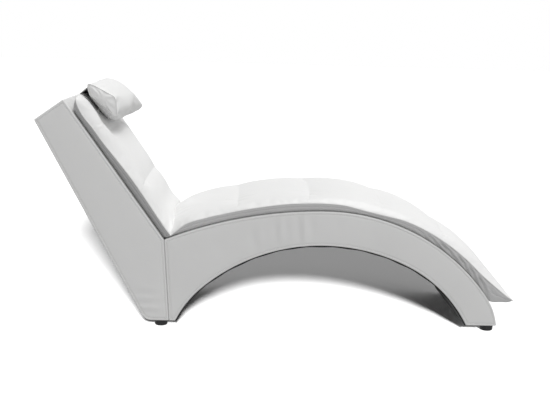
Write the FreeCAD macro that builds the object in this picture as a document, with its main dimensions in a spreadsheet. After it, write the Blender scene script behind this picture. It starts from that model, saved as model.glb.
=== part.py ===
"""Chaise longue: two upholstered modules bolted together, a loose folded mattress and a head pillow.

Millimetres, +Z up.  The origin is on the floor under the middle of the overall length.  The arched
seat runs towards +X, the leaning back rises towards -X, and the part is the same on both sides of Y.
"""
import FreeCAD
import Part
import math
import os
import Sketcher
from FreeCAD import Placement, Rotation, Vector

doc = FreeCAD.newDocument("ChaiseLongue")
sheet = doc.addObject("Spreadsheet::Sheet", "sizes")
Y_AXIS = Vector(0, 1, 0)
nodes = []


class Formula:
    """A value as its number and as the text of the expression that gives it."""

    def __init__(self, number, text):
        self.number = float(number)
        self.text = text

    def __add__(self, other):
        other = formula(other)
        return Formula(self.number + other.number, f"({self.text} + {other.text})")

    def __sub__(self, other):
        other = formula(other)
        return Formula(self.number - other.number, f"({self.text} - {other.text})")

    def __mul__(self, other):
        other = formula(other)
        return Formula(self.number * other.number, f"({self.text} * {other.text})")

    def __truediv__(self, other):
        other = formula(other)
        return Formula(self.number / other.number, f"({self.text} / {other.text})")

    def __neg__(self):
        return Formula(-self.number, f"(0 - {self.text})")

    def __rsub__(self, other):
        return formula(other) - self

    __radd__ = __add__
    __rmul__ = __mul__


def formula(value):
    if isinstance(value, Formula):
        return value
    return Formula(value, f"({value})")


def sine(angle):
    return Formula(math.sin(math.radians(angle.number)), f"sin({angle.text} * 1deg)")


def cosine(angle):
    return Formula(math.cos(math.radians(angle.number)), f"cos({angle.text} * 1deg)")


def root(value):
    return Formula(math.sqrt(value.number), f"sqrt({value.text})")


def size(name, value, note):
    """Write a driving dimension to the sheet, and return it."""
    row = size.row = getattr(size, "row", 0) + 1
    sheet.set(f"A{row}", name)
    sheet.set(f"B{row}", str(value))
    sheet.set(f"C{row}", note)
    sheet.setAlias(f"B{row}", name)
    return Formula(value, f"sizes.{name}")


# The body and its layers, from the outside in.
body_width = size("body_width", 510, "over both side covers")
cover = size("cover_thickness", 1.2, "upholstery cover")
padding = size("padding_thickness", 6, "foam between the cover and the carcass")
panel = size("panel_thickness", 15, "plywood side panel")
board = size("board_thickness", 15, "plywood end board")
deck = size("deck_thickness", 6, "bent plywood deck")
hardboard = size("hardboard_thickness", 4, "rear board of the back")
lining = size("lining_thickness", 2, "black lining under the arch and the back")
lining_inset = size("lining_inset", 3, "from the side cover to the lining's edge")
turn_under = size("turn_under", 30, "cover folded under the arch at each side")
layer_gap = size("layer_gap", 0.2, "between two layers")
module_gap = size("module_gap", 0.6, "between the covers of the two modules")

# The seam between the modules, and the seat's crown.
crease_x = size("crease_x", -366.4, "fold between back and seat")
crease_z = size("crease_height", 288, "fold above the floor")
seam_lean = size("seam_lean_angle", 3.9, "degrees back from upright")
crown_x = size("crown_x", 155.6, "highest point of the seat frame")
crown_z = size("crown_height", 390, "highest point of the seat frame")
crown_front_radius = size("crown_front_radius", 650, "front slope of the seat")
toe_angle = size("toe_angle", 55, "degrees down the front slope, where the toe begins")
toe_radius = size("toe_radius", 200, "outer curve of the front leg")

# The arch under the seat.
arch_x = size("arch_x", 147, "highest point of the arch")
arch_z = size("arch_height", 278.6, "highest point of the arch")
arch_rear_radius = size("arch_rear_radius", 595, "arch behind its top")
arch_rear_angle = size("arch_rear_angle", 41.2, "degrees, where the rear leg begins")
rear_leg_width = size("rear_leg_width", 20.7, "seam to the arch, above the foot")
arch_front_radius = size("arch_front_radius", 626, "arch in front of its top")
arch_front_angle = size("arch_front_angle", 26.9, "degrees, where the front leg begins")
front_leg_width = size("front_leg_width", 100.7, "arch to the toe, above the foot")

# The back.
back_lean = size("back_lean_angle", 35.7, "front face, degrees back from upright")
back_length = size("back_length", 543, "crease to the top, up the front face")
back_depth = size("back_depth", 113, "front to rear at the top")
rear_lean = size("rear_lean_angle", 28.5, "rear face, degrees back from upright")
heel_radius = size("heel_radius", 38, "lower rear corner of the back")

# Rails and blocks of the carcass.
rail_width = size("rail_width", 40, "cross rail, along the deck")
rail_depth = size("rail_depth", 20, "cross rail, into the module")
rail_rear_angle = size("rail_rear_angle", -17, "degrees from the crown, on the rear slope")
rail_middle_angle = size("rail_middle_angle", -8, "degrees from the crown, on the rear slope")
rail_crown_angle = size("rail_crown_angle", 4, "degrees from the crown, on the front slope")
rail_slope_angle = size("rail_slope_angle", 26, "degrees from the crown, on the front slope")
rail_toe_angle = size("rail_toe_angle", 50, "degrees from the crown, on the front slope")
back_board = size("back_board_thickness", 9, "plywood under the front face of the back")
back_rail_low = size("back_rail_low", 170, "lower cross rail, up the front face")
back_rail_high = size("back_rail_high", 350, "upper cross rail, up the front face")
block_length = size("block_length", 56, "foot block, along X")
block_width = size("block_width", 60, "foot block, along Y")
block_height = size("block_height", 42, "foot block, upwards")
block_margin = size("block_margin", 18, "foot screw to the block's outer end")
board_clearance = size("board_clearance", 8, "boards and top rail to what stands across their ends")
rear_board_gap = size("rear_board_gap", 20, "rear board to the top rail")
sheet_clearance = size("sheet_clearance", 6, "padding sheets to the crease and the back's top edge")
base_clearance = size("base_clearance", 4, "lining under the back, to the feet and past its opening")
overrun = size("overrun", 1, "a cutting tool past the face it opens")

# Feet and fasteners.
foot_height = size("foot_height", 22, "plastic foot")
foot_top = size("foot_top_diameter", 44, "plastic foot")
foot_base = size("foot_base_diameter", 40, "plastic foot")
foot_edge = size("foot_edge_radius", 5, "plastic foot, lower edge")
rear_foot_setback = size("rear_foot_setback", 27.2, "centre of the rear feet, behind the seam")
front_foot_setback = size("front_foot_setback", 4.5, "front foot's screw to the deck, at the screw's tip")
foot_inset = size("foot_inset", 34, "centre of the feet, in from the side cover")
screw_diameter = size("foot_screw_diameter", 5, "shank")
screw_length = size("foot_screw_length", 45, "under the head")
screw_head = size("foot_screw_head_diameter", 9.5, "pan head")
screw_head_height = size("foot_screw_head_height", 3.6, "pan head")
screw_recess = size("foot_recess_depth", 9, "counterbore in the foot")
screw_recess_diameter = size("foot_recess_diameter", 12, "counterbore in the foot")
bore_gap = size("bore_gap", 0.1, "round a screw or a bolt, on the radius")
bolt_diameter = size("bolt_diameter", 8, "joining bolt")
bolt_low = size("bolt_low", 75, "lower joining bolts above the floor")
bolt_high = size("bolt_high", 190, "upper joining bolts above the floor")
bolt_inset = size("bolt_inset", 82.8, "joining bolts, in from the side panel")
hex_flats = size("hex_across_flats", 13, "bolt head and nut")
bolt_head = size("bolt_head_height", 5.3, "hexagon head")
nut_height = size("nut_height", 6.8, "hexagon nut")
bolt_tail = size("bolt_tail", 3, "thread past the nut")
washer_diameter = size("washer_diameter", 16, "plain washer")
washer_thickness = size("washer_thickness", 1.6, "plain washer")

# The loose mattress.
mattress_thickness = size("mattress_thickness", 46, "foam and cover, over the middle")
mattress_inset = size("mattress_inset", 2, "in from the side cover")
mattress_gap = size("mattress_gap", 0.3, "to the frame below")
mattress_cover = size("mattress_cover_thickness", 1, "mattress cover")
mattress_margin = size("mattress_margin", 13, "from its upper end to the top of the back")
tip_overhang = size("tip_overhang", 52.2, "foot end, past the toe")
tip_drop = size("tip_drop", 14.8, "foot end's underside, below the start of the toe")
tip_angle = size("tip_angle", 40, "degrees down the front slope, where the foot end runs straight")
zip_width = size("zip_width", 12, "zipper tape in the underside of the foot end")
zip_margin = size("zip_margin", 53, "zipper tape to the mattress's sides")
zip_setback = size("zip_setback", 22, "tip to the middle of the zipper")
slider_start = size("zip_slider_start", 4, "zipper slider, from the tape's end")
slider_length = size("zip_slider_length", 14, "zipper slider")
slider_width = size("zip_slider_width", 7, "zipper slider")
slider_height = size("zip_slider_height", 3, "zipper slider")

# The head pillow and its flap.
pillow_length = size("pillow_length", 148, "along the back")
pillow_depth = size("pillow_depth", 84, "out from the mattress")
pillow_inset = size("pillow_inset", 60, "in from the side cover")
pillow_round = size("pillow_edge_radius", 26, "long edges")
pillow_gap = size("pillow_gap", 0.4, "to the mattress")
pillow_zip_margin = size("pillow_zip_margin", 65, "zipper in the underside, to the pillow's ends")
flap_margin = size("flap_margin", 25, "to the pillow's ends")
flap_thickness = size("flap_thickness", 2, "folded cover fabric")
flap_reach = size("flap_reach", 50, "up the end of the pillow")
flap_fold = size("flap_fold_gap", 2, "bare length of the fold, to either side of its axis")

# Half widths of the layers.
half_cover = body_width / 2
half_padding = half_cover - cover
half_panel = half_padding - padding
half_inside = half_panel - panel
half_mattress = half_cover - mattress_inset
half_pillow = half_cover - pillow_inset
foot_y = half_cover - foot_inset
bolt_y = half_inside - bolt_inset


class Frame:
    """A point and a face in the side view: out along the face's normal, up along the face."""

    def __init__(self, x, z, lean):
        self.x = formula(x)
        self.z = formula(z)
        self.lean = formula(lean)

    def point(self, out, up):
        out = formula(out)
        up = formula(up)
        x = self.x + out * cosine(self.lean) - up * sine(self.lean)
        z = self.z + out * sine(self.lean) + up * cosine(self.lean)
        return x, z

    def face(self, out=0):
        """The line along the face, moved out."""
        return cosine(self.lean), sine(self.lean), self.point(out, 0)

    def end(self, up):
        """The line square to the face."""
        return -sine(self.lean), cosine(self.lean), self.point(0, up)


def level(z):
    """The level line at a height."""
    return formula(0), formula(1), (formula(0), formula(z))


def meet(first, second):
    """The point where two lines cross."""
    ax, az, a_point = first
    bx, bz, b_point = second
    a_reach = ax * a_point[0] + az * a_point[1]
    b_reach = bx * b_point[0] + bz * b_point[1]
    determinant = ax * bz - az * bx
    return (a_reach * bz - b_reach * az) / determinant, (ax * b_reach - bx * a_reach) / determinant


class Circle:
    """A circle in the side view."""

    def __init__(self, x, z, radius):
        self.x = formula(x)
        self.z = formula(z)
        self.radius = formula(radius)

    def at(self, angle):
        """The point at an angle from upright, positive towards +X."""
        return self.x + self.radius * sine(angle), self.z + self.radius * cosine(angle)

    def inner(self, radius, angle):
        """A circle of another radius that touches this one at an angle."""
        step = self.radius - radius
        return Circle(self.x + step * sine(angle), self.z + step * cosine(angle), radius)

    def crossing(self, line, side):
        """The point on a line; side is 1 or -1 along the line's direction."""
        nx, nz, point = line
        reach = nx * (self.x - point[0]) + nz * (self.z - point[1])
        along = root(self.radius * self.radius - reach * reach) * side
        return self.x - reach * nx - along * nz, self.z - reach * nz + along * nx


def top(circle):
    return circle.at(formula(0))


def outline(name, path):
    """A closed sketch in the side plane.  Each entry is a point and the circle of the run after it,
    or None where that run is straight; a circle is followed clockwise, or the other way as ("ccw", circle)."""
    sketch = doc.addObject("Sketcher::SketchObject", name)
    sketch.Placement = Placement(Vector(), Rotation(Vector(1, 0, 0), 90))
    runs = []
    for index, (point, run) in enumerate(path):
        following = path[(index + 1) % len(path)][0]
        start = Vector(point[0].number, point[1].number, 0)
        end = Vector(following[0].number, following[1].number, 0)
        if run is None:
            number = sketch.addGeometry(Part.LineSegment(start, end), False)
            runs.append((number, 1, 2, point))
            continue
        counter = isinstance(run, tuple)
        circle = run[1] if counter else run
        middle = Vector(circle.x.number, circle.z.number, 0)
        first, last = (start, end) if counter else (end, start)
        first_angle = math.atan2(first.y - middle.y, first.x - middle.x)
        last_angle = math.atan2(last.y - middle.y, last.x - middle.x)
        if last_angle < first_angle:
            last_angle += 2 * math.pi
        shape = Part.Circle(middle, Vector(0, 0, 1), circle.radius.number)
        number = sketch.addGeometry(Part.ArcOfCircle(shape, first_angle, last_angle), False)
        constrain(sketch, "Radius", (number,), circle.radius)
        runs.append((number, 1, 2, point) if counter else (number, 2, 1, point))
    for index, (number, start, end, point) in enumerate(runs):
        following, following_start = runs[(index + 1) % len(runs)][:2]
        sketch.addConstraint(Sketcher.Constraint("Coincident", number, end, following, following_start))
        constrain(sketch, "DistanceX", (number, start), point[0])
        constrain(sketch, "DistanceY", (number, start), point[1])
    return sketch


def constrain(sketch, kind, where, value):
    index = sketch.addConstraint(Sketcher.Constraint(kind, *where, value.number))
    sketch.setExpression(f"Constraints[{index}]", value.text)


def bind(thing, **values):
    for name, value in values.items():
        thing.setExpression(name, formula(value).text)
    return thing


def put(thing, x, y, z, lean=0, about_y=0):
    """Bind a placement: turned back from upright by lean, after a fixed turn about Y."""
    turn = formula(about_y) - lean
    thing.Placement = Placement(Vector(), Rotation(Y_AXIS, turn.number))
    for name, value in (("Base.x", x), ("Base.y", y), ("Base.z", z), ("Rotation.Angle", turn)):
        thing.setExpression(f"Placement.{name}", formula(value).text)
    return thing


def span(name, sketch, low, high):
    """A side outline extruded from one value of Y to another."""
    solid = doc.addObject("Part::Extrusion", name)
    solid.Base = sketch
    solid.DirMode = "Custom"
    solid.Dir = Y_AXIS
    solid.Solid = True
    return bind(solid, LengthFwd=high, LengthRev=-formula(low))


def slab(name, frame, out, thickness, up, height, half_width, y=0):
    """A box on a frame: its outer face at out, its lower end at up."""
    solid = doc.addObject("Part::Box", name)
    bind(solid, Length=thickness, Width=2 * half_width, Height=height)
    x, z = frame.point(formula(out) - thickness, up)
    return put(solid, x, y - half_width, z, frame.lean)


def rod(name, frame, out, length, up, y, radius, kind="Part::Cylinder"):
    """A cylinder or a hexagon along a frame's normal, from out inwards by length."""
    solid = doc.addObject(kind, name)
    x, z = frame.point(formula(out) - length, up)
    if kind == "Part::Prism":
        solid.Polygon = 6
        bind(solid, Circumradius=radius, Height=length)
    else:
        bind(solid, Radius=radius, Height=length)
    return put(solid, x, y, z, frame.lean, about_y=90)


def post(name, x, y, z, radius, height):
    """An upright cylinder."""
    solid = doc.addObject("Part::Cylinder", name)
    bind(solid, Radius=radius, Height=height)
    return put(solid, x, y, z)


def cut(name, base, tools):
    result = doc.addObject("Part::Cut", name)
    result.Base = base
    result.Tool = tools[0] if len(tools) == 1 else group(name + "_tools", tools)
    return result


def common(name, first, second):
    result = doc.addObject("Part::Common", name)
    result.Base = first
    result.Tool = second
    return result


def group(name, members):
    result = doc.addObject("Part::Compound", name)
    result.Links = members
    return result


def node(thing):
    """Mark an object as a sub-part of the assembly; its label names its file."""
    nodes.append(thing)
    return thing


# Circles and frames that several pieces share.
crown_run = crown_x - crease_x
crown_rise = crown_z - crease_z
crown_rear_radius = (crown_run * crown_run + crown_rise * crown_rise) / (2 * crown_rise)
seam = Frame(crease_x, crease_z, seam_lean)
back = Frame(crease_x, crease_z, back_lean)
back_top = back.point(-back_depth, back_length)
rear = Frame(back_top[0], back_top[1], rear_lean)
rear_length = (back_top[1] - foot_height) / cosine(rear_lean)


def crown(inset):
    """The circles of the seat's upper side: rear slope, front slope, toe."""
    rear_slope = Circle(crown_x, crown_z - crown_rear_radius, crown_rear_radius - inset)
    front_slope = Circle(crown_x, crown_z - crown_front_radius, crown_front_radius - inset)
    return rear_slope, front_slope, front_slope.inner(toe_radius - inset, toe_angle)


seat_foot_x = meet(seam.face(), level(foot_height))[0]
toe_end_x = crown(0)[2].crossing(level(foot_height), -1)[0]
screw_tip = level(screw_recess + screw_length)
front_foot_x = crown(cover + padding + deck)[2].crossing(screw_tip, -1)[0] - front_foot_setback
rear_foot_x = seat_foot_x - rear_foot_setback


def leg_radius(circle, angle, end_x):
    """The radius that touches a circle at an angle and ends above the foot at end_x."""
    start_x, start_z = circle.at(angle)
    run = end_x - start_x
    drop = foot_height - start_z
    return (run * run + drop * drop) / (-2 * (run * sine(angle) + drop * cosine(angle)))


arch_rear = Circle(arch_x, arch_z - arch_rear_radius, arch_rear_radius)
arch_front = Circle(arch_x, arch_z - arch_front_radius, arch_front_radius)
arch_heel_radius = leg_radius(arch_rear, -arch_rear_angle, seat_foot_x + rear_leg_width)
arch_toe_radius = leg_radius(arch_front, arch_front_angle, toe_end_x - front_leg_width)


def arch(inset):
    """The circles of the arch: rear leg, rear, front, front leg.  A larger inset is higher."""
    behind = Circle(arch_x, arch_z - arch_rear_radius, arch_rear_radius + inset)
    ahead = Circle(arch_x, arch_z - arch_front_radius, arch_front_radius + inset)
    heel = behind.inner(arch_heel_radius + inset, -arch_rear_angle)
    toe = ahead.inner(arch_toe_radius + inset, arch_front_angle)
    return heel, behind, ahead, toe


def crown_path(inset, rear_line, base):
    """The upper side from the seam to the toe's lower end."""
    rear_slope, front_slope, toe = crown(inset)
    return [
        (rear_slope.crossing(rear_line, 1), rear_slope),
        (top(front_slope), front_slope),
        (front_slope.at(toe_angle), toe),
        (toe.crossing(level(base), -1), None),
    ]


def arch_path(inset, base):
    """The arch from the front leg's lower end to the rear leg's."""
    heel, behind, ahead, toe = arch(inset)
    return [
        (toe.crossing(level(base), -1), ("ccw", toe)),
        (ahead.at(arch_front_angle), ("ccw", ahead)),
        (top(behind), ("ccw", behind)),
        (behind.at(-arch_rear_angle), ("ccw", heel)),
        (heel.crossing(level(base), 1), None),
    ]


def seat_outline(name, top_inset, arch_inset, end_inset, base_inset):
    """The seat module seen from the side, with each side moved in by its own inset."""
    rear_line = seam.face(module_gap / 2 + end_inset)
    base = foot_height + base_inset
    path = [(meet(rear_line, level(base)), None)]
    path += crown_path(top_inset, rear_line, base)
    path += arch_path(arch_inset, base)
    return outline(name, path)


def reverse_path(path):
    """The same points the other way round, for the inner side of a band."""
    points = [point for point, run in path]
    runs = [run for point, run in path]
    turned = []
    for index in range(len(points) - 1, -1, -1):
        run = runs[index - 1] if index else None
        if run is not None:
            run = run[1] if isinstance(run, tuple) else ("ccw", run)
        turned.append((points[index], run))
    return turned


def crown_band(name, outer, inner, end_inset, base_inset):
    """A bent sheet along the seat's upper side."""
    rear_line = seam.face(module_gap / 2 + end_inset)
    base = foot_height + base_inset
    path = crown_path(outer, rear_line, base)
    path += reverse_path(crown_path(inner, rear_line, base))
    return outline(name, path)


def arch_band(name, lower, upper, base_inset):
    """A bent sheet along the arch."""
    base = foot_height + base_inset
    path = arch_path(upper, base)
    path += reverse_path(arch_path(lower, base))
    return outline(name, path)


def back_outline(name, inset, end_inset, base_inset):
    """The back module seen from the side."""
    seam_line = seam.face(-module_gap / 2 - end_inset)
    front_line = back.face(-inset)
    top_line = back.end(back_length - inset)
    rear_line = rear.face(inset)
    base_line = level(foot_height + base_inset)
    heel = heel_radius - inset
    heel_x, heel_z = meet(rear.face(heel_radius), level(foot_height + base_inset + heel))
    heel_circle = Circle(heel_x, heel_z, heel)
    heel_rear = (heel_x - heel * cosine(rear_lean), heel_z - heel * sine(rear_lean))
    heel_base = (heel_x, heel_z - heel)
    return outline(name, [
        (meet(base_line, seam_line), None),
        (heel_base, heel_circle),
        (heel_rear, None),
        (meet(rear_line, top_line), None),
        (meet(top_line, front_line), None),
        (meet(front_line, seam_line), None),
    ])


# Seat module: plywood carcass.
carcass = cover + padding
seat_panel = seat_outline("seat_panel_outline", carcass, cover, cover, cover)
node(span("seat_side_panel_left", seat_panel, half_inside, half_panel))
node(span("seat_side_panel_right", seat_panel, -half_panel, -half_inside))

deck_outline = crown_band("seat_deck_outline", carcass, carcass + deck, cover + layer_gap, cover)
node(span("seat_deck", deck_outline, -half_inside, half_inside))


def crown_rail(name, angle, on_front):
    """A straight rail under the bent deck, touching it along both long edges."""
    under_deck = crown(carcass + deck + layer_gap)[1 if on_front else 0]
    sag = rail_width * rail_width / (8 * under_deck.radius)
    x, z = Circle(under_deck.x, under_deck.z, under_deck.radius - sag).at(angle)
    frame = Frame(x, z, -angle)
    rail = doc.addObject("Part::Box", name)
    bind(rail, Length=rail_width, Width=2 * half_inside, Height=rail_depth)
    corner_x, corner_z = frame.point(-rail_width / 2, -rail_depth)
    return node(put(rail, corner_x, -half_inside, corner_z, frame.lean))


crown_rail("seat_rail_rear", rail_rear_angle, False)
crown_rail("seat_rail_middle", rail_middle_angle, False)
crown_rail("seat_rail_crown", rail_crown_angle, True)
crown_rail("seat_rail_slope", rail_slope_angle, True)
crown_rail("seat_rail_toe", rail_toe_angle, True)

# The end boards stand against the covers on either side of the seam and take the joining bolts.
board_face = module_gap / 2 + cover + layer_gap
board_low = foot_height + cover - crease_z + (board_face + board) * sine(seam_lean)
board_top = padding + cover + deck + board_clearance
bolts = [
    (f"{row}_{side}", up, y)
    for row, up in (("low", bolt_low), ("high", bolt_high))
    for side, y in (("left", bolt_y), ("right", -bolt_y))
]
bolt_bore = bolt_diameter / 2 + bore_gap
bore_length = 2 * (board_face + board + overrun)


def bolt_holes(name):
    return [
        rod(f"{name}_bore_{label}", seam, bore_length / 2, bore_length, (up - crease_z) / cosine(seam_lean), y, bolt_bore)
        for label, up, y in bolts
    ]


def end_board(name, face):
    height = -board_low / cosine(seam_lean) - board_top
    blank = slab(name + "_blank", seam, face, board, board_low / cosine(seam_lean), height, half_inside)
    return node(cut(name, blank, bolt_holes(name)))


end_board("seat_end_board", board_face + board)

# Foot blocks, glued to the panels, with the feet's screws in them.
base_z = foot_height + cover
screw_bore = screw_diameter / 2 + bore_gap


def foot_block(name, hollow, screw_x, end_x, sign):
    """A block in the corner of a module, shaped to its hollow, with a pilot hole for the screw."""
    blank = doc.addObject("Part::Box", name + "_blank")
    bind(blank, Length=block_length, Width=block_width, Height=block_height)
    low_y = half_inside - block_width if sign > 0 else -half_inside
    put(blank, end_x - block_length, low_y, base_z)
    bore = post(name + "_bore", screw_x, sign * foot_y, base_z - overrun, screw_bore, screw_length)
    shaped = common(name + "_shaped", blank, hollow)
    return node(cut(name, shaped, [bore]))


under_deck_outline = seat_outline("under_deck_outline", carcass + deck + layer_gap, cover, cover, cover)
seat_hollow = span("seat_hollow", under_deck_outline, -half_inside, half_inside)
for side, sign in (("left", 1), ("right", -1)):
    foot_block(f"seat_foot_block_{side}", seat_hollow, front_foot_x, front_foot_x + block_margin, sign)

# Seat module: padding, cover and lining.
top_padding = crown_band("seat_top_padding_outline", cover + layer_gap, carcass - layer_gap, cover + layer_gap, cover)
node(span("seat_top_padding", top_padding, layer_gap - half_padding, half_padding - layer_gap))
side_padding = seat_outline("seat_side_padding_outline", carcass, cover, cover, cover)
node(span("seat_side_padding_left", side_padding, half_panel, half_padding - layer_gap))
node(span("seat_side_padding_right", side_padding, layer_gap - half_padding, -half_panel))

seat_skin = span("seat_skin", seat_outline("seat_cover_outline", formula(0), formula(0), formula(0), formula(0)),
                 -half_cover, half_cover)
seat_void = span("seat_void", seat_outline("seat_void_outline", cover, cover, cover, cover),
                 -half_padding, half_padding)
under_outline = outline("seat_under_outline", arch_path(cover + layer_gap, foot_height - overrun))
seat_under = span("seat_under", under_outline, turn_under - half_cover, half_cover - turn_under)


def screw_holes(name, x):
    return [
        post(f"{name}_screw_bore_{side}", x, sign * foot_y, foot_height - overrun, screw_bore, cover + 2 * overrun)
        for side, sign in (("left", 1), ("right", -1))
    ]


seat_openings = [seat_void, seat_under] + bolt_holes("seat_cover") + screw_holes("seat_cover", front_foot_x)
node(cut("seat_cover", seat_skin, seat_openings))

lining_outline = arch_band("seat_lining_outline", -layer_gap - lining, -layer_gap, 0)
node(span("seat_lining", lining_outline, lining_inset - half_cover, half_cover - lining_inset))

# Back module: plywood carcass.
back_panel = back_outline("back_panel_outline", carcass, cover, cover)
node(span("back_side_panel_left", back_panel, half_inside, half_panel))
node(span("back_side_panel_right", back_panel, -half_panel, -half_inside))
back_board_length = back_length - carcass
node(slab("back_front_board", back, -carcass, back_board, board, back_board_length - board, half_inside))
rear_start = rear_length - carcass - heel_radius
node(slab("back_rear_board", rear, carcass + hardboard, hardboard, -rear_start, rear_start - rear_board_gap, half_inside))
rail_out = -carcass - back_board - layer_gap
node(slab("back_rail_low", back, rail_out, rail_depth, back_rail_low, rail_width, half_inside))
node(slab("back_rail_high", back, rail_out, rail_depth, back_rail_high, rail_width, half_inside))
top_rail_up = back_length - carcass - rail_depth
top_rail_deep = back_depth - 2 * carcass - back_board - hardboard - board_clearance
node(slab("back_top_rail", back, rail_out, top_rail_deep, top_rail_up, rail_depth, half_inside))
end_board("back_end_board", -board_face)
back_hollow = span("back_hollow", back_panel, -half_inside, half_inside)
board_back_x = meet(seam.face(-board_face - board - layer_gap), level(base_z + block_height))[0]
for side, sign in (("left", 1), ("right", -1)):
    foot_block(f"back_foot_block_{side}", back_hollow, rear_foot_x, board_back_x, sign)

# Back module: padding, cover and lining.
padding_skin = padding - 2 * layer_gap
face_out = -cover - layer_gap
half_sheet = half_padding - layer_gap
front_sheet_length = back_length - cover - layer_gap - sheet_clearance
node(slab("back_front_padding", back, face_out, padding_skin, sheet_clearance, front_sheet_length, half_sheet))
rear_sheet = cover + layer_gap + padding_skin
node(slab("back_rear_padding", rear, rear_sheet, padding_skin, -rear_start, rear_start - sheet_clearance, half_sheet))
back_side_sheet = back_outline("back_side_padding_outline", carcass, cover, cover)
node(span("back_side_padding_left", back_side_sheet, half_panel, half_sheet))
node(span("back_side_padding_right", back_side_sheet, -half_sheet, -half_panel))

back_skin = span("back_skin", back_outline("back_cover_outline", formula(0), formula(0), formula(0)),
                 -half_cover, half_cover)
back_void = span("back_void", back_outline("back_void_outline", cover, cover, cover),
                 -half_padding, half_padding)
base_length = block_length + board_clearance
back_base = doc.addObject("Part::Box", "back_base_opening")
bind(back_base, Length=base_length, Width=2 * (foot_y - foot_top), Height=cover + 2 * overrun)
put(back_base, board_back_x - base_length, foot_top - foot_y, foot_height - overrun)
back_openings = [back_void, back_base] + bolt_holes("back_cover") + screw_holes("back_cover", rear_foot_x)
node(cut("back_cover", back_skin, back_openings))

back_lining = doc.addObject("Part::Box", "back_lining")
bind(back_lining, Length=base_length + base_clearance, Width=2 * (foot_y - foot_top / 2 - base_clearance), Height=lining)
put(back_lining, board_back_x - base_length - base_clearance / 2, foot_top / 2 + base_clearance - foot_y,
    foot_height - lining - layer_gap)
node(back_lining)


# Feet and their screws.
def foot(name, x, y):
    """A turned foot with a counterbored screw hole and a rounded lower edge."""
    body = doc.addObject("PartDesign::Body", name)
    plane = next(f for f in body.Origin.OriginFeatures if f.Role == "XZ_Plane")
    sketch = body.newObject("Sketcher::SketchObject", name + "_profile")
    sketch.AttachmentSupport = (plane, "")
    sketch.MapMode = "FlatFace"
    corners = [
        (screw_bore, foot_height),
        (foot_top / 2, foot_height),
        (foot_base / 2, formula(0)),
        (screw_recess_diameter / 2, formula(0)),
        (screw_recess_diameter / 2, screw_recess),
        (screw_bore, screw_recess),
    ]
    for index, corner in enumerate(corners):
        following = corners[(index + 1) % len(corners)]
        start = Vector(corner[0].number, corner[1].number, 0)
        end = Vector(following[0].number, following[1].number, 0)
        sketch.addGeometry(Part.LineSegment(start, end), False)
    for index, corner in enumerate(corners):
        following = (index + 1) % len(corners)
        sketch.addConstraint(Sketcher.Constraint("Coincident", index, 2, following, 1))
        constrain(sketch, "DistanceX", (index, 1), corner[0])
        constrain(sketch, "DistanceY", (index, 1), corner[1])
    turned = body.newObject("PartDesign::Revolution", name + "_turned")
    turned.Profile = sketch
    turned.ReferenceAxis = (sketch, ["V_Axis"])
    turned.Angle = 360
    doc.recompute()
    rounded = body.newObject("PartDesign::Fillet", name + "_edge")
    rounded.Base = (turned, [lower_rim(turned.Shape, foot_base.number / 2)])
    bind(rounded, Radius=foot_edge)
    return node(put(body, x, y, 0))


def lower_rim(shape, radius):
    """The name of the circular edge of a radius at the shape's lower end."""
    for index, edge in enumerate(shape.Edges, 1):
        circle = edge.Curve
        if isinstance(circle, Part.Circle) and abs(circle.Radius - radius) < 0.01 and abs(circle.Center.z) < 0.01:
            return f"Edge{index}"
    raise RuntimeError("the foot has no lower rim")


places = [
    (f"{end}_{side}", x, sign * foot_y)
    for end, x in (("rear", rear_foot_x), ("front", front_foot_x))
    for side, sign in (("left", 1), ("right", -1))
]
screws = []
for label, x, y in places:
    foot(f"foot_{label}", x, y)
    shank = post(f"screw_shank_{label}", x, y, screw_recess, screw_diameter / 2, screw_length)
    head = post(f"screw_head_{label}", x, y, screw_recess - screw_head_height, screw_head / 2, screw_head_height)
    screw = doc.addObject("Part::Fuse", f"screw_{label}")
    screw.Base = shank
    screw.Tool = head
    screws.append(screw)
node(group("foot_screws", screws))

# Joining bolts from the seat side, with washers and nuts.
washer_face = board_face + board
grip = 2 * (washer_face + washer_thickness)
hex_radius = hex_flats / math.sqrt(3)
bolt_solids = []
nuts = []
washers = []
for label, height, y in bolts:
    up = (height - crease_z) / cosine(seam_lean)
    head_out = grip / 2 + bolt_head
    shank_length = grip + nut_height + bolt_tail
    head = rod(f"bolt_head_{label}", seam, head_out, bolt_head, up, y, hex_radius, "Part::Prism")
    shank = rod(f"bolt_shank_{label}", seam, grip / 2, shank_length, up, y, bolt_diameter / 2)
    bolt = doc.addObject("Part::Fuse", f"bolt_{label}")
    bolt.Base = head
    bolt.Tool = shank
    bolt_solids.append(bolt)
    nut_blank = rod(f"nut_blank_{label}", seam, -grip / 2, nut_height, up, y, hex_radius, "Part::Prism")
    nut_bore = rod(f"nut_bore_{label}", seam, overrun - grip / 2, nut_height + 2 * overrun, up, y, bolt_bore)
    nuts.append(cut(f"nut_{label}", nut_blank, [nut_bore]))
    for end, out in (("seat", grip / 2), ("back", -washer_face)):
        ring = rod(f"washer_blank_{end}_{label}", seam, out, washer_thickness, up, y, washer_diameter / 2)
        hole = rod(f"washer_bore_{end}_{label}", seam, out + overrun, washer_thickness + 2 * overrun, up, y, bolt_bore)
        washers.append(cut(f"washer_{end}_{label}", ring, [hole]))
node(group("joining_bolts", bolt_solids))
node(group("joining_nuts", nuts))
node(group("joining_washers", washers))


# The mattress: one pad, folded at the crease.
mattress_tip_x = toe_end_x + tip_overhang
mattress_tip_z = crown(0)[1].at(toe_angle)[1] - tip_drop


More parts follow.
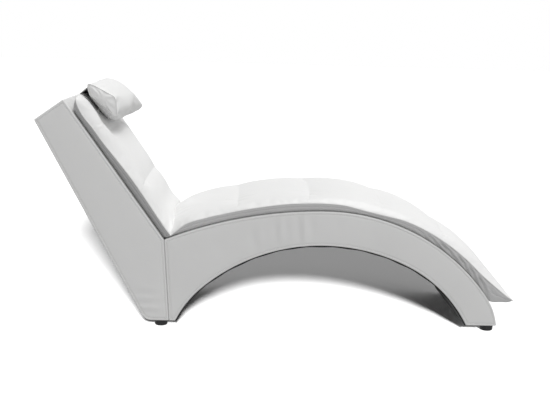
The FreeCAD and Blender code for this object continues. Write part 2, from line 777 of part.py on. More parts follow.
def mattress_outline(name, inset):
    """The mattress seen from the side, all round smaller by inset."""
    under = mattress_gap + inset
    over = mattress_gap + mattress_thickness - inset
    rear_slope, front_slope, toe = crown(-under)
    top_rear, top_front = crown(-over)[:2]
    lower_fold = rear_slope.crossing(back.face(under), 1)
    upper_fold = top_rear.crossing(back.face(over), 1)
    lower_face = back.face(under)
    upper_face = back.face(over)
    upper_end = back.end(back_length - mattress_margin - inset)
    tip_x = mattress_tip_x - inset
    tip_z = mattress_tip_z + inset
    tip_line = (sine(tip_angle), cosine(tip_angle), top_front.at(tip_angle))
    tip_face = (formula(1), formula(0), (tip_x, formula(0)))
    return outline(name, [
        (lower_fold, rear_slope),
        (top(front_slope), front_slope),
        (front_slope.at(toe_angle), toe),
        (toe.crossing(level(tip_z), -1), None),
        ((tip_x, tip_z), None),
        (meet(tip_face, tip_line), None),
        (top_front.at(tip_angle), ("ccw", top_front)),
        (top(top_rear), ("ccw", top_rear)),
        (upper_fold, None),
        (meet(upper_face, upper_end), None),
        (meet(upper_end, lower_face), None),
    ])


mattress_skin = span("mattress_skin", mattress_outline("mattress_outline", formula(0)),
                     -half_mattress, half_mattress)
mattress_void = span("mattress_void", mattress_outline("mattress_void_outline", mattress_cover),
                     mattress_cover - half_mattress, half_mattress - mattress_cover)
foam_inset = mattress_cover + layer_gap
node(span("mattress_foam", mattress_outline("mattress_foam_outline", foam_inset),
          foam_inset - half_mattress, half_mattress - foam_inset))

zip_x = mattress_tip_x - zip_setback
zip_length = 2 * (half_mattress - zip_margin)
zip_slot = doc.addObject("Part::Box", "zip_slot")
bind(zip_slot, Length=zip_width, Width=zip_length, Height=mattress_cover + 2 * overrun)
put(zip_slot, zip_x - zip_width / 2, -zip_length / 2, mattress_tip_z - overrun)
node(cut("mattress_cover", mattress_skin, [mattress_void, zip_slot]))
zip_tape = doc.addObject("Part::Box", "mattress_zipper")
bind(zip_tape, Length=zip_width - layer_gap, Width=zip_length - layer_gap, Height=mattress_cover)
put(zip_tape, zip_x - (zip_width - layer_gap) / 2, (layer_gap - zip_length) / 2, mattress_tip_z)
node(zip_tape)
zip_slider = doc.addObject("Part::Box", "mattress_zip_slider")
bind(zip_slider, Length=slider_width, Width=slider_length, Height=slider_height)
put(zip_slider, zip_x - slider_width / 2, slider_start - zip_length / 2, mattress_tip_z - slider_height)
node(zip_slider)


# The pillow lies on the mattress near its upper end and turns on the flap's fold.
mattress_top = mattress_gap + mattress_thickness
mattress_end = back_length - mattress_margin
pillow_seat = mattress_top + pillow_gap


def pillow_solid(name, inset):
    """A rounded block on the mattress, all round smaller by inset."""
    body = doc.addObject("PartDesign::Body", name)
    block = body.newObject("PartDesign::AdditiveBox", name + "_block")
    bind(block, Length=pillow_depth - 2 * inset, Width=2 * (half_pillow - inset), Height=pillow_length - 2 * inset)
    doc.recompute()
    rounded = body.newObject("PartDesign::Fillet", name + "_edges")
    rounded.Base = (block, long_edges(block.Shape))
    bind(rounded, Radius=pillow_round - inset)
    x, z = back.point(pillow_seat + inset, mattress_end - pillow_length + inset)
    return put(body, x, inset - half_pillow, z, back_lean)


def long_edges(shape):
    """The names of the edges that run across the part."""
    return [
        f"Edge{index}"
        for index, edge in enumerate(shape.Edges, 1)
        if abs(edge.Vertexes[0].Y - edge.Vertexes[-1].Y) > 1
    ]


pillow_skin = pillow_solid("pillow_skin", formula(0))
pillow_void = pillow_solid("pillow_void", mattress_cover)
pillow_fill = pillow_solid("pillow_fill", foam_inset)
node(pillow_fill)
pillow_zip_up = mattress_end - pillow_length / 2
pillow_zip_length = 2 * (half_pillow - pillow_zip_margin)
pillow_zip = slab("pillow_zip_slot", back, pillow_seat + mattress_cover + overrun, mattress_cover + 2 * overrun,
                  pillow_zip_up, zip_width, pillow_zip_length / 2)
node(cut("pillow_cover", pillow_skin, [pillow_void, pillow_zip]))
node(slab("pillow_zipper", back, pillow_seat + mattress_cover, mattress_cover,
          pillow_zip_up + layer_gap / 2, zip_width - layer_gap, (pillow_zip_length - layer_gap) / 2))
fold_out = mattress_top + pillow_gap / 2
flap_up = mattress_end + layer_gap
anchor_depth = mattress_thickness - flap_fold
half_flap = half_pillow - flap_margin
node(slab("pillow_flap_anchor", back, fold_out - flap_fold, anchor_depth, flap_up, flap_thickness, half_flap))
node(slab("pillow_flap", back, fold_out + flap_reach, flap_reach - flap_fold, flap_up, flap_thickness, half_flap))

doc.recompute()
for thing in doc.Objects:
    if {"Invalid", "Error"} & set(thing.State):
        raise RuntimeError(f"{thing.Name} failed: {thing.State}")
for thing in nodes:
    if thing.Shape.isNull() or not thing.Shape.isValid():
        raise RuntimeError(f"{thing.Label} has no valid shape")
    if thing.Shape.Volume <= 0:
        raise RuntimeError(f"{thing.Label} encloses nothing")

os.makedirs("parts", exist_ok=True)
for thing in nodes:
    thing.Shape.exportStep(f"parts/{thing.Label}.step")
fold_x, fold_z = back.point(fold_out, flap_up + flap_thickness / 2)
print(f"{len(nodes)} sub-parts; pillow fold at x {fold_x.number:.2f}, z {fold_z.number:.2f}")
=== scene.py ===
"""Chaise longue: the visual model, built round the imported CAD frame.

Shapes are worked out in millimetres, in the frame's axes: X along the chaise to its foot end, Y
across it with the camera's side at -Y, and Z up.
"""

import math

import bpy
import numpy as np
from mathutils import Matrix, Vector


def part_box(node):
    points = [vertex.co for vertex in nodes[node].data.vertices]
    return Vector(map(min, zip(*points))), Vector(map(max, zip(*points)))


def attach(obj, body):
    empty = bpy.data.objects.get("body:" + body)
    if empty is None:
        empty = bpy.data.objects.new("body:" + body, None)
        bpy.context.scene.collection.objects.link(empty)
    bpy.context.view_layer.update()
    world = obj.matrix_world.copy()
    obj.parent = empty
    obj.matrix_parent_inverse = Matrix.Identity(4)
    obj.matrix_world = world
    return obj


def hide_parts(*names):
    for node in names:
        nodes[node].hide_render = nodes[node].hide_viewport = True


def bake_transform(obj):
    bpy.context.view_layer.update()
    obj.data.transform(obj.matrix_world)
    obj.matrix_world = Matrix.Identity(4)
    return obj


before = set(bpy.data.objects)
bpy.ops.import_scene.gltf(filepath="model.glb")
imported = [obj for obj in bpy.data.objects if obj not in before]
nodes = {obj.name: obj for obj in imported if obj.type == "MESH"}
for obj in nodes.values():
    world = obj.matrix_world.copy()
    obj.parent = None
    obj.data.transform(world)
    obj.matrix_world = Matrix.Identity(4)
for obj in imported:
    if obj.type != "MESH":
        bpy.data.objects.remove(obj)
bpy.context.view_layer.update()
MM = 0.001
rng = np.random.default_rng(7)


def new_object(name, data):
    made = bpy.data.objects.new(name, data)
    bpy.context.scene.collection.objects.link(made)
    return made


# The camera, solved from the photograph.
YAW, PITCH, ROLL = 0.03844, 0.16567, 0.02725
CAMERA_PLACE = (-0.1372, -3.4514, 0.9405)
IMAGE_WIDTH, FOCAL_PX = 550, 1016.66
SENSOR_WIDTH = 36


def make_camera():
    forward = Vector((math.sin(YAW) * math.cos(PITCH), math.cos(YAW) * math.cos(PITCH),
                      -math.sin(PITCH)))
    level_right = Vector((math.cos(YAW), -math.sin(YAW), 0))
    level_up = level_right.cross(forward)
    right = level_right * math.cos(ROLL) + level_up * math.sin(ROLL)
    up = -level_right * math.sin(ROLL) + level_up * math.cos(ROLL)
    data = bpy.data.cameras.new("camera")
    data.sensor_fit = "HORIZONTAL"
    data.sensor_width = SENSOR_WIDTH
    data.lens = FOCAL_PX / IMAGE_WIDTH * SENSOR_WIDTH
    data.clip_end = 50
    camera = new_object("camera", data)
    matrix = Matrix((right, up, -forward)).transposed().to_4x4()
    matrix.translation = CAMERA_PLACE
    camera.matrix_world = matrix
    bpy.context.scene.camera = camera


make_camera()


# Curves in the side view: rows of (x, z) in mm.
def arc(cx, cz, radius, start, end):
    """Points on a circle between two angles from upright, positive towards +X."""
    count = max(3, int(abs(math.radians(end - start)) * radius))
    a = np.radians(np.linspace(start, end, count))
    return np.stack([cx + radius * np.sin(a), cz + radius * np.cos(a)], 1)


def line(a, b):
    count = max(3, int(math.dist(a, b)))
    t = np.linspace(0, 1, count)[:, None]
    return np.array(a, float) * (1 - t) + np.array(b, float) * t


def lengths(points):
    """The distance run at each point of a polyline."""
    step = np.linalg.norm(np.diff(points, axis=0), axis=1)
    return np.concatenate([[0], np.cumsum(step)])


def along(points, places):
    """Points of a polyline at given distances along it."""
    s = lengths(points)
    return np.stack([np.interp(places, s, points[:, k]) for k in range(points.shape[1])], 1)


def even(points, count):
    return along(points, np.linspace(0, lengths(points)[-1], count))


def smooth_curve(points, count):
    """A smooth curve through a few points, evenly spaced in their length."""
    points = np.array(points, float)
    s = lengths(points)
    at = np.linspace(0, s[-1], count)
    slope = np.gradient(points, s, axis=0)
    k = np.clip(np.searchsorted(s, at, side="right") - 1, 0, len(s) - 2)
    h = (s[k + 1] - s[k])[:, None]
    t = ((at - s[k]) / h[:, 0])[:, None]
    return ((2 * t**3 - 3 * t**2 + 1) * points[k] + (t**3 - 2 * t**2 + t) * h * slope[k]
            + (-2 * t**3 + 3 * t**2) * points[k + 1] + (t**3 - t**2) * h * slope[k + 1])


def blur_closed(points, sigma, spacing=0.5):
    """A closed curve with its corners rounded, evenly resampled, and the length that it had."""
    closed = np.vstack([points, points[:1]])
    total = lengths(closed)[-1]
    count = int(total / spacing)
    even_points = along(closed, np.linspace(0, total, count, endpoint=False))
    freq = np.fft.fftfreq(count, total / count)
    gain = np.exp(-2 * (math.pi * freq * sigma) ** 2)[:, None]
    return np.fft.ifft(np.fft.fft(even_points, axis=0) * gain, axis=0).real, total


def inward(curve, places):
    """Unit directions into a smooth closed curve, at places from 0 to 1 round it."""
    ahead = np.roll(curve, -1, 0) - np.roll(curve, 1, 0)
    area = np.sum(curve[:, 0] * np.roll(curve[:, 1], -1) - np.roll(curve[:, 0], -1) * curve[:, 1])
    n = np.stack([-ahead[:, 1], ahead[:, 0]], 1) * (1 if area > 0 else -1)
    n /= np.linalg.norm(n, axis=1)[:, None]
    closed = np.vstack([n, n[:1]])
    at = np.linspace(0, 1, len(closed))
    out = np.stack([np.interp(np.mod(places, 1), at, closed[:, k]) for k in (0, 1)], 1)
    return out / np.linalg.norm(out, axis=1)[:, None]


# The frame's side view, with the sizes of the part's source.
BACK_LEAN, SEAM_LEAN = math.radians(35.7), math.radians(3.9)
REAR_LEAN_DEGREES = 28.5
COS_BACK, SIN_BACK = math.cos(BACK_LEAN), math.sin(BACK_LEAN)
CREASE = np.array([-366.4, 288.0])
APEX = np.array([155.6, 390.0])
REAR_RADIUS = ((APEX - CREASE) ** 2).sum() / (2 * (APEX - CREASE)[1])
FRONT_RADIUS, TOE_ANGLE, TOE_RADIUS = 650.0, 55.0, 200.0
ARCH = np.array([147.0, 278.6])
ARCH_REAR, ARCH_REAR_ANGLE, ARCH_FRONT, ARCH_FRONT_ANGLE = 595.0, 41.2, 626.0, 26.9
REAR_LEG, FRONT_LEG = 20.7, 100.7
LEG_Z = 22.0
BACK_LENGTH, BACK_THICK, HEEL_RADIUS = 543, 113, 38.0
MODULE_GAP = 0.3
SEAT_SEAM_TOP, BACK_SEAM_TOP = 288.1, 287.7
HALF = 255.0


def back_point(n, u):
    """A point from the back's front face: n out of it, u up it from the crease."""
    return np.array([CREASE[0] + n * COS_BACK - u * SIN_BACK,
                     CREASE[1] + n * SIN_BACK + u * COS_BACK])


def back_place(points):
    """How far points in space stand out of the back's front face, and how far up it."""
    dx, dz = points[:, 0] - CREASE[0], points[:, 2] - CREASE[1]
    return dx * COS_BACK + dz * SIN_BACK, -dx * SIN_BACK + dz * COS_BACK


def move_out(points, distance):
    """Moves points in space out of the back's front face."""
    points[:, 0] += distance * COS_BACK
    points[:, 2] += distance * SIN_BACK


def seam_x(z, shift):
    """The seam between the modules at a height, moved along X."""
    return CREASE[0] + shift / math.cos(SEAM_LEAN) + (CREASE[1] - z) * math.tan(SEAM_LEAN)


def crown_curve(out, start_x, end_z):
    """The seat's upper side, moved out, from an x near the seam to a height on the toe."""
    toe_turn = math.radians(TOE_ANGLE)
    rear = (APEX[0], APEX[1] - REAR_RADIUS, REAR_RADIUS + out)
    front = (APEX[0], APEX[1] - FRONT_RADIUS, FRONT_RADIUS + out)
    toe = (APEX[0] + (FRONT_RADIUS - TOE_RADIUS) * math.sin(toe_turn),
           APEX[1] - FRONT_RADIUS + (FRONT_RADIUS - TOE_RADIUS) * math.cos(toe_turn),
           TOE_RADIUS + out)
    start = -math.degrees(math.asin((rear[0] - start_x) / rear[2]))
    end = math.degrees(math.acos((end_z - toe[1]) / toe[2]))
    return np.vstack([arc(*rear, start, 0), arc(*front, 0, TOE_ANGLE)[1:],
                      arc(*toe, TOE_ANGLE, end)[1:]])


def leg_circle(cx, cz, radius, angle, end_x):
    """The circle that touches another at an angle and ends above the foot at end_x."""
    a = math.radians(angle)
    start = np.array([cx + radius * math.sin(a), cz + radius * math.cos(a)])
    run = np.array([end_x, LEG_Z]) - start
    r = (run @ run) / (-2 * (run[0] * math.sin(a) + run[1] * math.cos(a)))
    centre = start - r * np.array([math.sin(a), math.cos(a)])
    end = math.degrees(math.asin((end_x - centre[0]) / r))
    return centre[0], centre[1], r, end


def arch_curve(down=0.0):
    """The arch from the rear leg to the front leg; down moves it into the opening."""
    rear = (ARCH[0], ARCH[1] - ARCH_REAR)
    front = (ARCH[0], ARCH[1] - ARCH_FRONT)
    toe_end = crown_curve(0, -366, LEG_Z)[-1][0]
    heel = leg_circle(*rear, ARCH_REAR, -ARCH_REAR_ANGLE, seam_x(LEG_Z, 0) + REAR_LEG)
    toe = leg_circle(*front, ARCH_FRONT, ARCH_FRONT_ANGLE, toe_end - FRONT_LEG)
    return np.vstack([
        arc(heel[0], heel[1], heel[2] - down, heel[3], -ARCH_REAR_ANGLE),
        arc(*rear, ARCH_REAR - down, -ARCH_REAR_ANGLE, 0)[1:],
        arc(*front, ARCH_FRONT - down, 0, ARCH_FRONT_ANGLE)[1:],
        arc(toe[0], toe[1], toe[2] - down, ARCH_FRONT_ANGLE, toe[3])[1:],
    ])


# Meshes.
def add_mesh(name, points, faces, materials, face_material=None):
    """A smooth mesh object from points in mm."""
    mesh = bpy.data.meshes.new(name)
    mesh.from_pydata((np.asarray(points) * MM).tolist(), [],
                     [tuple(int(i) for i in f) for f in faces])
    for material in materials:
        mesh.materials.append(material)
    if face_material is not None:
        mesh.polygons.foreach_set("material_index", np.asarray(face_material, np.int32))
    mesh.polygons.foreach_set("use_smooth", [True] * len(mesh.polygons))
    mesh.update()
    return new_object(name, mesh)


def subdivide(piece):
    modifier = piece.modifiers.new("subdivision", "SUBSURF")
    modifier.levels = modifier.render_levels = 1
    return piece


def at_y(xz, y):
    """Side-view points carried to one place across, or each to its own."""
    return np.column_stack([xz[:, 0], np.broadcast_to(y, len(xz)), xz[:, 1]])


def numbers(rows, columns, start=0):
    return np.arange(start, start + rows * columns).reshape(rows, columns)


def grid_faces(grid, wrap=False, flip=False):
    """Four-sided faces over an array of point numbers."""
    if wrap:
        grid = np.hstack([grid, grid[:, :1]])
    corners = (grid[:-1, :-1], grid[1:, :-1], grid[1:, 1:], grid[:-1, 1:])
    faces = np.stack(corners, -1).reshape(-1, 4)
    return (faces[:, ::-1] if flip else faces).tolist()


def loft(count, size, start):
    """Faces over rings of points, with a flat face on the first and the last ring."""
    grid = numbers(count, size, start)
    return grid_faces(grid, wrap=True) + [grid[0].tolist(), grid[-1, ::-1].tolist()]


def close_end(layers, faces, total, first, rings, turn=0):
    """Rings that step in from a loop of points; the last is closed by strips across it."""
    m = len(first)
    previous = list(first)
    for ring in rings:
        layers.append(ring)
        current = list(range(total, total + m))
        total += m
        faces += [(previous[j], previous[(j + 1) % m], current[(j + 1) % m], current[j])
                  for j in range(m)]
        previous = current
    order = previous[turn:] + previous[:turn]
    for j in range(m // 2 - 1):
        faces.append((order[j], order[j + 1], order[m - 2 - j], order[m - 1 - j]))
    return total


def face_normals(points, faces):
    p = points[faces]
    return np.cross(p[:, 2] - p[:, 0], p[:, 3] - p[:, 1])


def normals_of(points, faces):
    """Area-weighted normals at the points."""
    n = face_normals(points, faces)
    out = np.zeros_like(points)
    for k in range(4):
        np.add.at(out, faces[:, k], n)
    return out / np.maximum(np.linalg.norm(out, axis=1), 1e-9)[:, None]


def face_out(points, faces, away):
    """The same faces, each turned to look along the given direction."""
    faces = np.array(faces)
    wrong = np.einsum("ij,ij->i", face_normals(points, faces), away[faces].sum(1)) < 0
    faces[wrong] = faces[wrong][:, ::-1]
    return faces


def bump(x, centre, width):
    """A soft bell of height 1."""
    return np.exp(-((x - centre) / width) ** 2)


def unit(x):
    return np.clip(x, 0, 1)


def falling(x):
    """A soft step from 1 down to 0."""
    return 1 / (1 + np.exp(x))


def spread(start, end, step, corners=(), fine=2.0, reach=10.0):
    """Places from start to end about a step apart, closer within reach of the corners."""
    marks = sorted({start, end, *[c for c in corners if start < c < end]})
    places = [start]
    while places[-1] < end - 1e-6:
        here = places[-1]
        near = min(abs(here - m) for m in marks)
        ahead = [m for m in marks if m > here + 1e-6][0]
        pace = fine if near < reach else min(step, fine + (near - reach) * 0.35 + 0.7)
        left = ahead - here
        even_pace = left / max(1, round(left / fine))
        if left <= reach:
            pace = min(pace, even_pace)
        elif left - pace < reach:
            pace = max(left - reach, fine * 0.6) if left - reach > fine * 0.6 else even_pace
        places.append(min(here + pace, ahead) if ahead - here - pace > 1e-3 else ahead)
    return np.array(places)


EDGE_STEPS = np.array([1.5, 3.0, 4.6, 7.5, 12.0, 19.0, 30.0])
FULL_STEPS_WIDTH = 90.0


def across_places(width, middle):
    """Places across a side face, with lines close together along both of its edges."""
    near = EDGE_STEPS * min(1.0, width / FULL_STEPS_WIDTH)
    between = np.linspace(near[-1], width - near[-1], middle + 2)[1:-1]
    return np.concatenate([[0], near, between, width - near[::-1], [width]])


def nearest(points, curve, block=400):
    """Distance of each point to a dense curve."""
    out = np.empty(len(points))
    for k in range(0, len(points), block):
        part = points[k:k + block]
        out[k:k + block] = np.sqrt(((part[:, None] - curve[None]) ** 2).sum(2).min(1))
    return out


RIM_STEP, RIM_ACROSS = 9.5, 13.0
EDGE_RADIUS, CORNER_BLUR, SOFT_BLUR = 5.0, 2.2, 11.0


class Shell:
    """A closed upholstered body: a side outline carried across Y, with rounded long edges.

    lower and upper run the same way and are joined by straight ends.  outline holds the rim's
    places in the side view, into the directions into the body there, and depth how far each
    point lies in from the outline.
    """

    def __init__(self, lower, upper, corner, middle=5):
        start, end = line(lower[0], upper[0]), line(upper[-1], lower[-1])
        loop = np.vstack([upper[:-1], end[:-1], lower[::-1][:-1], start[:-1]])
        upper_end, end_end, lower_end, total = np.cumsum(
            [lengths(run)[-1] for run in (upper, end, lower, start)])
        curve, measured = blur_closed(loop, CORNER_BLUR)
        gentle, _ = blur_closed(loop, SOFT_BLUR)
        upper_places = spread(0, upper_end, RIM_STEP, [corner])
        fraction = upper_places / upper_end
        end_places = upper_end + across_places(end_end - upper_end, middle)
        lower_places = end_end + (lower_end - end_end) * (1 - fraction)[::-1]
        start_places = lower_end + across_places(total - lower_end, middle)
        n, ends = len(upper_places), len(end_places) - 1
        places = np.concatenate([upper_places, end_places[1:], lower_places[1:],
                                 start_places[1:-1]])
        closed = np.vstack([curve, curve[:1]])
        on_curve = np.mod(places * (measured / total), measured)
        at = np.linspace(0, measured, len(closed))
        ring = np.stack([np.interp(on_curve, at, closed[:, k]) for k in (0, 1)], 1)
        size = len(ring)
        true_in, soft_in = inward(curve, places / total), inward(gentle, places / total)
        soft_in = soft_in / np.maximum(np.sum(true_in * soft_in, 1), 0.72)[:, None]
        # The rim, from one side to the other, with its two rounded edges.
        flat = HALF - EDGE_RADIUS
        near = flat - EDGE_RADIUS
        rows = int(round(2 * flat / RIM_ACROSS))
        rim_y = [-flat, *np.linspace(-near, near, rows - 1), flat]
        rounding = [(EDGE_RADIUS * (1 - math.cos(t)), flat + EDGE_RADIUS * math.sin(t))
                    for t in np.radians([90, 67.5, 45, 22.5])]
        layers = [(d, -y) for d, y in rounding] + [(0, y) for y in rim_y] + rounding[::-1]
        points, depths = [], []
        for d, y in layers:
            ease = min(1.0, d / EDGE_RADIUS)
            points.append(at_y(ring + ((1 - ease) * true_in + ease * soft_in) * d, y))
            depths.append(np.full(size, d))
        faces = grid_faces(numbers(len(layers), size), wrap=True)
        count = len(layers) * size
        # The two side faces: a grid from the lower run to the upper, inside the outer rings.
        top = np.arange(n)
        right = np.arange(n - 1, n + ends)
        bottom = np.arange(n - 1 + ends, 2 * n - 1 + ends)[::-1]
        left = np.array([0, *range(size - 1, size - ends, -1), bottom[0]])
        total_points = count
        for layer in (0, len(layers) - 1):
            side, base = points[layer], layer * size
            grid = np.zeros((n, ends + 1), int)
            grid[:, ends], grid[:, 0] = base + top, base + bottom
            grid[0], grid[-1] = base + left[::-1], base + right[::-1]
            high, low = side[top][1:-1], side[bottom][1:-1]
            widths = np.linalg.norm(side[top] - side[bottom], axis=1)[1:-1]
            v = np.array([across_places(w, middle)[1:-1] / w for w in widths])[..., None]
            u = np.broadcast_to(fraction[1:-1][:, None, None], v.shape)
            strays = []
            for run in (side[left[::-1]], side[right[::-1]]):
                chord, inside = run[-1] - run[0], run[1:-1]
                t = (inside - run[0]) @ chord / (chord @ chord)
                strays.append(inside - run[0] - t[:, None] * chord)
            mix = (low[:, None] * (1 - v) + high[:, None] * v
                   + strays[0][None] * (1 - u) + strays[1][None] * u)
            grid[1:-1, 1:-1] = numbers(*mix.shape[:2], total_points)
            mix = mix.reshape(-1, 3)
            total_points += len(mix)
            points.append(mix)
            depths.append(nearest(mix[:, [0, 2]], curve[::2]))
            faces += grid_faces(grid)
        self.outline, self.into = ring, soft_in
        self.points, self.depth = np.vstack(points), np.concatenate(depths)
        # Every face turns its front outwards.
        y = self.points[:, 1]
        away = np.zeros_like(self.points)
        away[:count] = np.tile(at_y(-true_in, 0), (len(layers), 1))
        away[:, 1] = np.sign(y) * unit((np.abs(y) - flat) / EDGE_RADIUS) * 3
        self.faces = face_out(self.points, faces, away)
        self.normals = normals_of(self.points, self.faces)


# Materials.
def add_node(tree, kind, **values):
    """A new node; in_Some_Name sets that socket, or links it where the value is a socket."""
    node = tree.nodes.new(kind)
    for key, value in values.items():
        if not key.startswith("in_"):
            setattr(node, key, value)
            continue
        socket = node.inputs[key[3:].replace("_", " ")]
        if isinstance(value, bpy.types.NodeSocket):
            tree.links.new(value, socket)
        else:
            socket.default_value = value
    return node


class Surface:
    """A material with a Principled shader and textures in object space."""

    def __init__(self, name):
        self.material = bpy.data.materials.new(name)
        self.material.use_nodes = True
        self.tree = self.material.node_tree
        self.shader = self.tree.nodes["Principled BSDF"]
        self.place = add_node(self.tree, "ShaderNodeTexCoord").outputs["Object"]

    def set(self, **values):
        for key, value in values.items():
            self.shader.inputs[key.replace("_", " ")].default_value = value
        return self.material

    def feed(self, name, socket):
        self.tree.links.new(socket, self.shader.inputs[name])

    def texture(self, kind, output, vector=None, **values):
        vector = self.place if vector is None else vector
        node = add_node(self.tree, "ShaderNodeTex" + kind, **values)
        self.tree.links.new(vector, node.inputs["Vector"])
        return node.outputs[output]

    def tint(self, factor, colour, shade):
        mix = add_node(self.tree, "ShaderNodeMix", data_type="RGBA", in_Factor=factor,
                       in_A=(*colour, 1), in_B=(*shade, 1))
        self.feed("Base Color", mix.outputs["Result"])

    def gloss(self, value, low, high):
        ramp = add_node(self.tree, "ShaderNodeMapRange", in_Value=value, in_To_Min=low,
                        in_To_Max=high)
        self.feed("Roughness", ramp.outputs["Result"])

    def relief(self, height, strength, distance, under=None):
        node = add_node(self.tree, "ShaderNodeBump", in_Height=height, in_Strength=strength,
                        in_Distance=distance)
        if under is not None:
            self.tree.links.new(under, node.inputs["Normal"])
        self.feed("Normal", node.outputs["Normal"])
        return node.outputs["Normal"]


def leather(name, colour, shade, strength=0.16):
    """A fine pebble grain, faint creases and slight changes of colour and gloss."""
    s = Surface(name)
    pebble = s.texture("Voronoi", "Distance", feature="SMOOTH_F1", in_Scale=900.0,
                       in_Smoothness=0.6)
    pores = s.texture("Noise", "Fac", in_Scale=405.0, in_Detail=3.0)
    folds = s.texture("Noise", "Fac", in_Scale=60.0, in_Detail=4.0, in_Distortion=0.6)
    s.tint(s.texture("Noise", "Fac", in_Scale=5.0, in_Detail=3.0), colour, shade)
    s.gloss(pores, 0.35, 0.51)
    fine = s.relief(pebble, strength, 0.0004)
    s.relief(folds, strength * 0.9, 0.0012, under=fine)
    return s.set(Specular_IOR_Level=0.45)


def cloth(name, colour, shade, scale, sheen=0.2):
    """Woven or felted fabric."""
    s = Surface(name)
    fibre = s.texture("Noise", "Fac", in_Scale=scale, in_Detail=2.0)
    thread = s.texture("Voronoi", "Distance", feature="F1", in_Scale=scale * 0.6)
    s.tint(s.texture("Noise", "Fac", in_Scale=12.0, in_Detail=3.0), colour, shade)
    s.relief(thread, 0.4, 0.0005)
    s.gloss(fibre, 0.77, 0.95)
    return s.set(Sheen_Weight=sheen)


def plastic(name, colour, roughness=0.38):
    s = Surface(name)
    spark = s.texture("Noise", "Fac", in_Scale=1100.0, in_Detail=2.0)
    smear = s.texture("Noise", "Fac", in_Scale=35.0, in_Detail=3.0)
    s.gloss(smear, roughness - 0.08, roughness + 0.12)
    s.relief(spark, 0.12, 0.0003)
    s.tint(smear, colour, [c * 1.5 + 0.004 for c in colour])
    return s.material


def wood(name, light, dark, grain_scale, ply=False):
    """Sawn timber or board; ply adds the lines of the veneers."""
    s = Surface(name)
    stretch = add_node(s.tree, "ShaderNodeMapping", in_Vector=s.place, in_Scale=grain_scale)
    rings = s.texture("Noise", "Fac", stretch.outputs["Vector"], in_Scale=1.6, in_Detail=6.0,
                      in_Distortion=1.2)
    ramp = add_node(s.tree, "ShaderNodeValToRGB", in_Fac=rings)
    for element, place, tone in zip(ramp.color_ramp.elements, (0.35, 0.68), (dark, light)):
        element.position, element.color = place, (*tone, 1)
    colour = ramp.outputs["Color"]
    if ply:
        veneer = s.texture("Wave", "Fac", wave_type="BANDS", bands_direction="Y",
                           in_Scale=115.0, in_Distortion=0.4)
        mix = add_node(s.tree, "ShaderNodeMix", data_type="RGBA", blend_type="MULTIPLY",
                       in_Factor=veneer, in_A=colour, in_B=(*[c * 1.05 for c in light], 1))
        colour = mix.outputs["Result"]
    s.feed("Base Color", colour)
    s.relief(rings, 0.25, 0.0006)
    return s.set(Roughness=0.7)


def metal(name, colour):
    s = Surface(name)
    spangle = s.texture("Voronoi", "Distance", in_Scale=420.0)
    s.tint(spangle, colour, [c * 0.8 for c in colour])
    s.gloss(spangle, 0.22, 0.45)
    return s.set(Metallic=1.0)


WHITE = leather("white_leather", (0.80, 0.80, 0.795), (0.74, 0.74, 0.735))
PAD_TOP = leather("pad_leather", (0.83, 0.83, 0.825), (0.78, 0.78, 0.775), strength=0.13)
PAD_SIDE = leather("pad_side_leather", (0.62, 0.62, 0.62), (0.56, 0.56, 0.56), strength=0.18)
# A darker copy of the band leather: painted shade for the band along the back, which lies in the
# shade of the pad's roll.
PAD_SIDE_PAINTED_SHADE = leather("pad_side_leather_painted_shade", (0.47, 0.47, 0.47), (0.42, 0.42, 0.42),
                        strength=0.18)
THREAD = cloth("sewing_thread", (0.78, 0.78, 0.77), (0.7, 0.7, 0.69), scale=2600.0, sheen=0.1)
LINING = cloth("black_lining", (0.012, 0.012, 0.012), (0.02, 0.02, 0.02), scale=1500.0,
               sheen=0.15)
TAPE = cloth("zipper_tape", (0.72, 0.72, 0.7), (0.66, 0.66, 0.64), scale=1800.0)
COIL = plastic("zipper_coil", (0.68, 0.68, 0.66), 0.35)
FOOT = plastic("foot_plastic", (0.012, 0.012, 0.013))
ZINC = metal("zinc_steel", (0.6, 0.6, 0.58))
TIMBER = wood("timber", (0.72, 0.53, 0.32), (0.55, 0.37, 0.2), (60.0, 3.0, 60.0))
PLYWOOD = wood("plywood", (0.74, 0.58, 0.38), (0.6, 0.43, 0.26), (5.0, 5.0, 40.0), ply=True)
HARDBOARD = wood("hardboard", (0.36, 0.22, 0.12), (0.28, 0.16, 0.08), (40.0, 40.0, 40.0))

FEET = ("foot_rear_left", "foot_rear_right", "foot_front_left", "foot_front_right")
# The rigid nodes by how their names start.
CAD_LOOKS = (
    (PLYWOOD, ("seat_side_panel", "seat_deck", "seat_end_board", "back_side_panel",
               "back_front_board", "back_end_board")),
    (TIMBER, ("seat_rail", "seat_foot_block", "back_rail", "back_top_rail", "back_foot_block")),
    (HARDBOARD, ("back_rear_board",)),
    (ZINC, ("foot_screws", "joining")),
    (FOOT, FEET),
)
for look, starts in CAD_LOOKS:
    for name, node in nodes.items():
        if name.startswith(starts):
            node.data.materials.clear()
            node.data.materials.append(look)
for name in FEET:
    for polygon in nodes[name].data.polygons:
        polygon.use_smooth = True


# The two covers.
COVER_SIDE = 249            # from here out to HALF a point belongs to a side face
STITCH_DEPTH, STITCH_PITCH, STITCH_LENGTH = 8.0, 7.5, 5.2
STITCH_THICK, STITCH_LIFT, STITCH_SIDES = 0.55, 0.1, 6
STITCH_PROFILE = ((-0.5, 0.25), (-0.3, 0.9), (0.3, 0.9), (0.5, 0.25))   # place, thickness


def edge_seam(depth):
    """The height of a sewn edge by its depth in from the outline: a ridge, then the stitches."""
    return (1.1 * np.exp(-(depth / 5.0) ** 4) - 0.8 * bump(depth, STITCH_DEPTH, 1.6)
            + 0.5 * bump(depth, 12.5, 3.0))


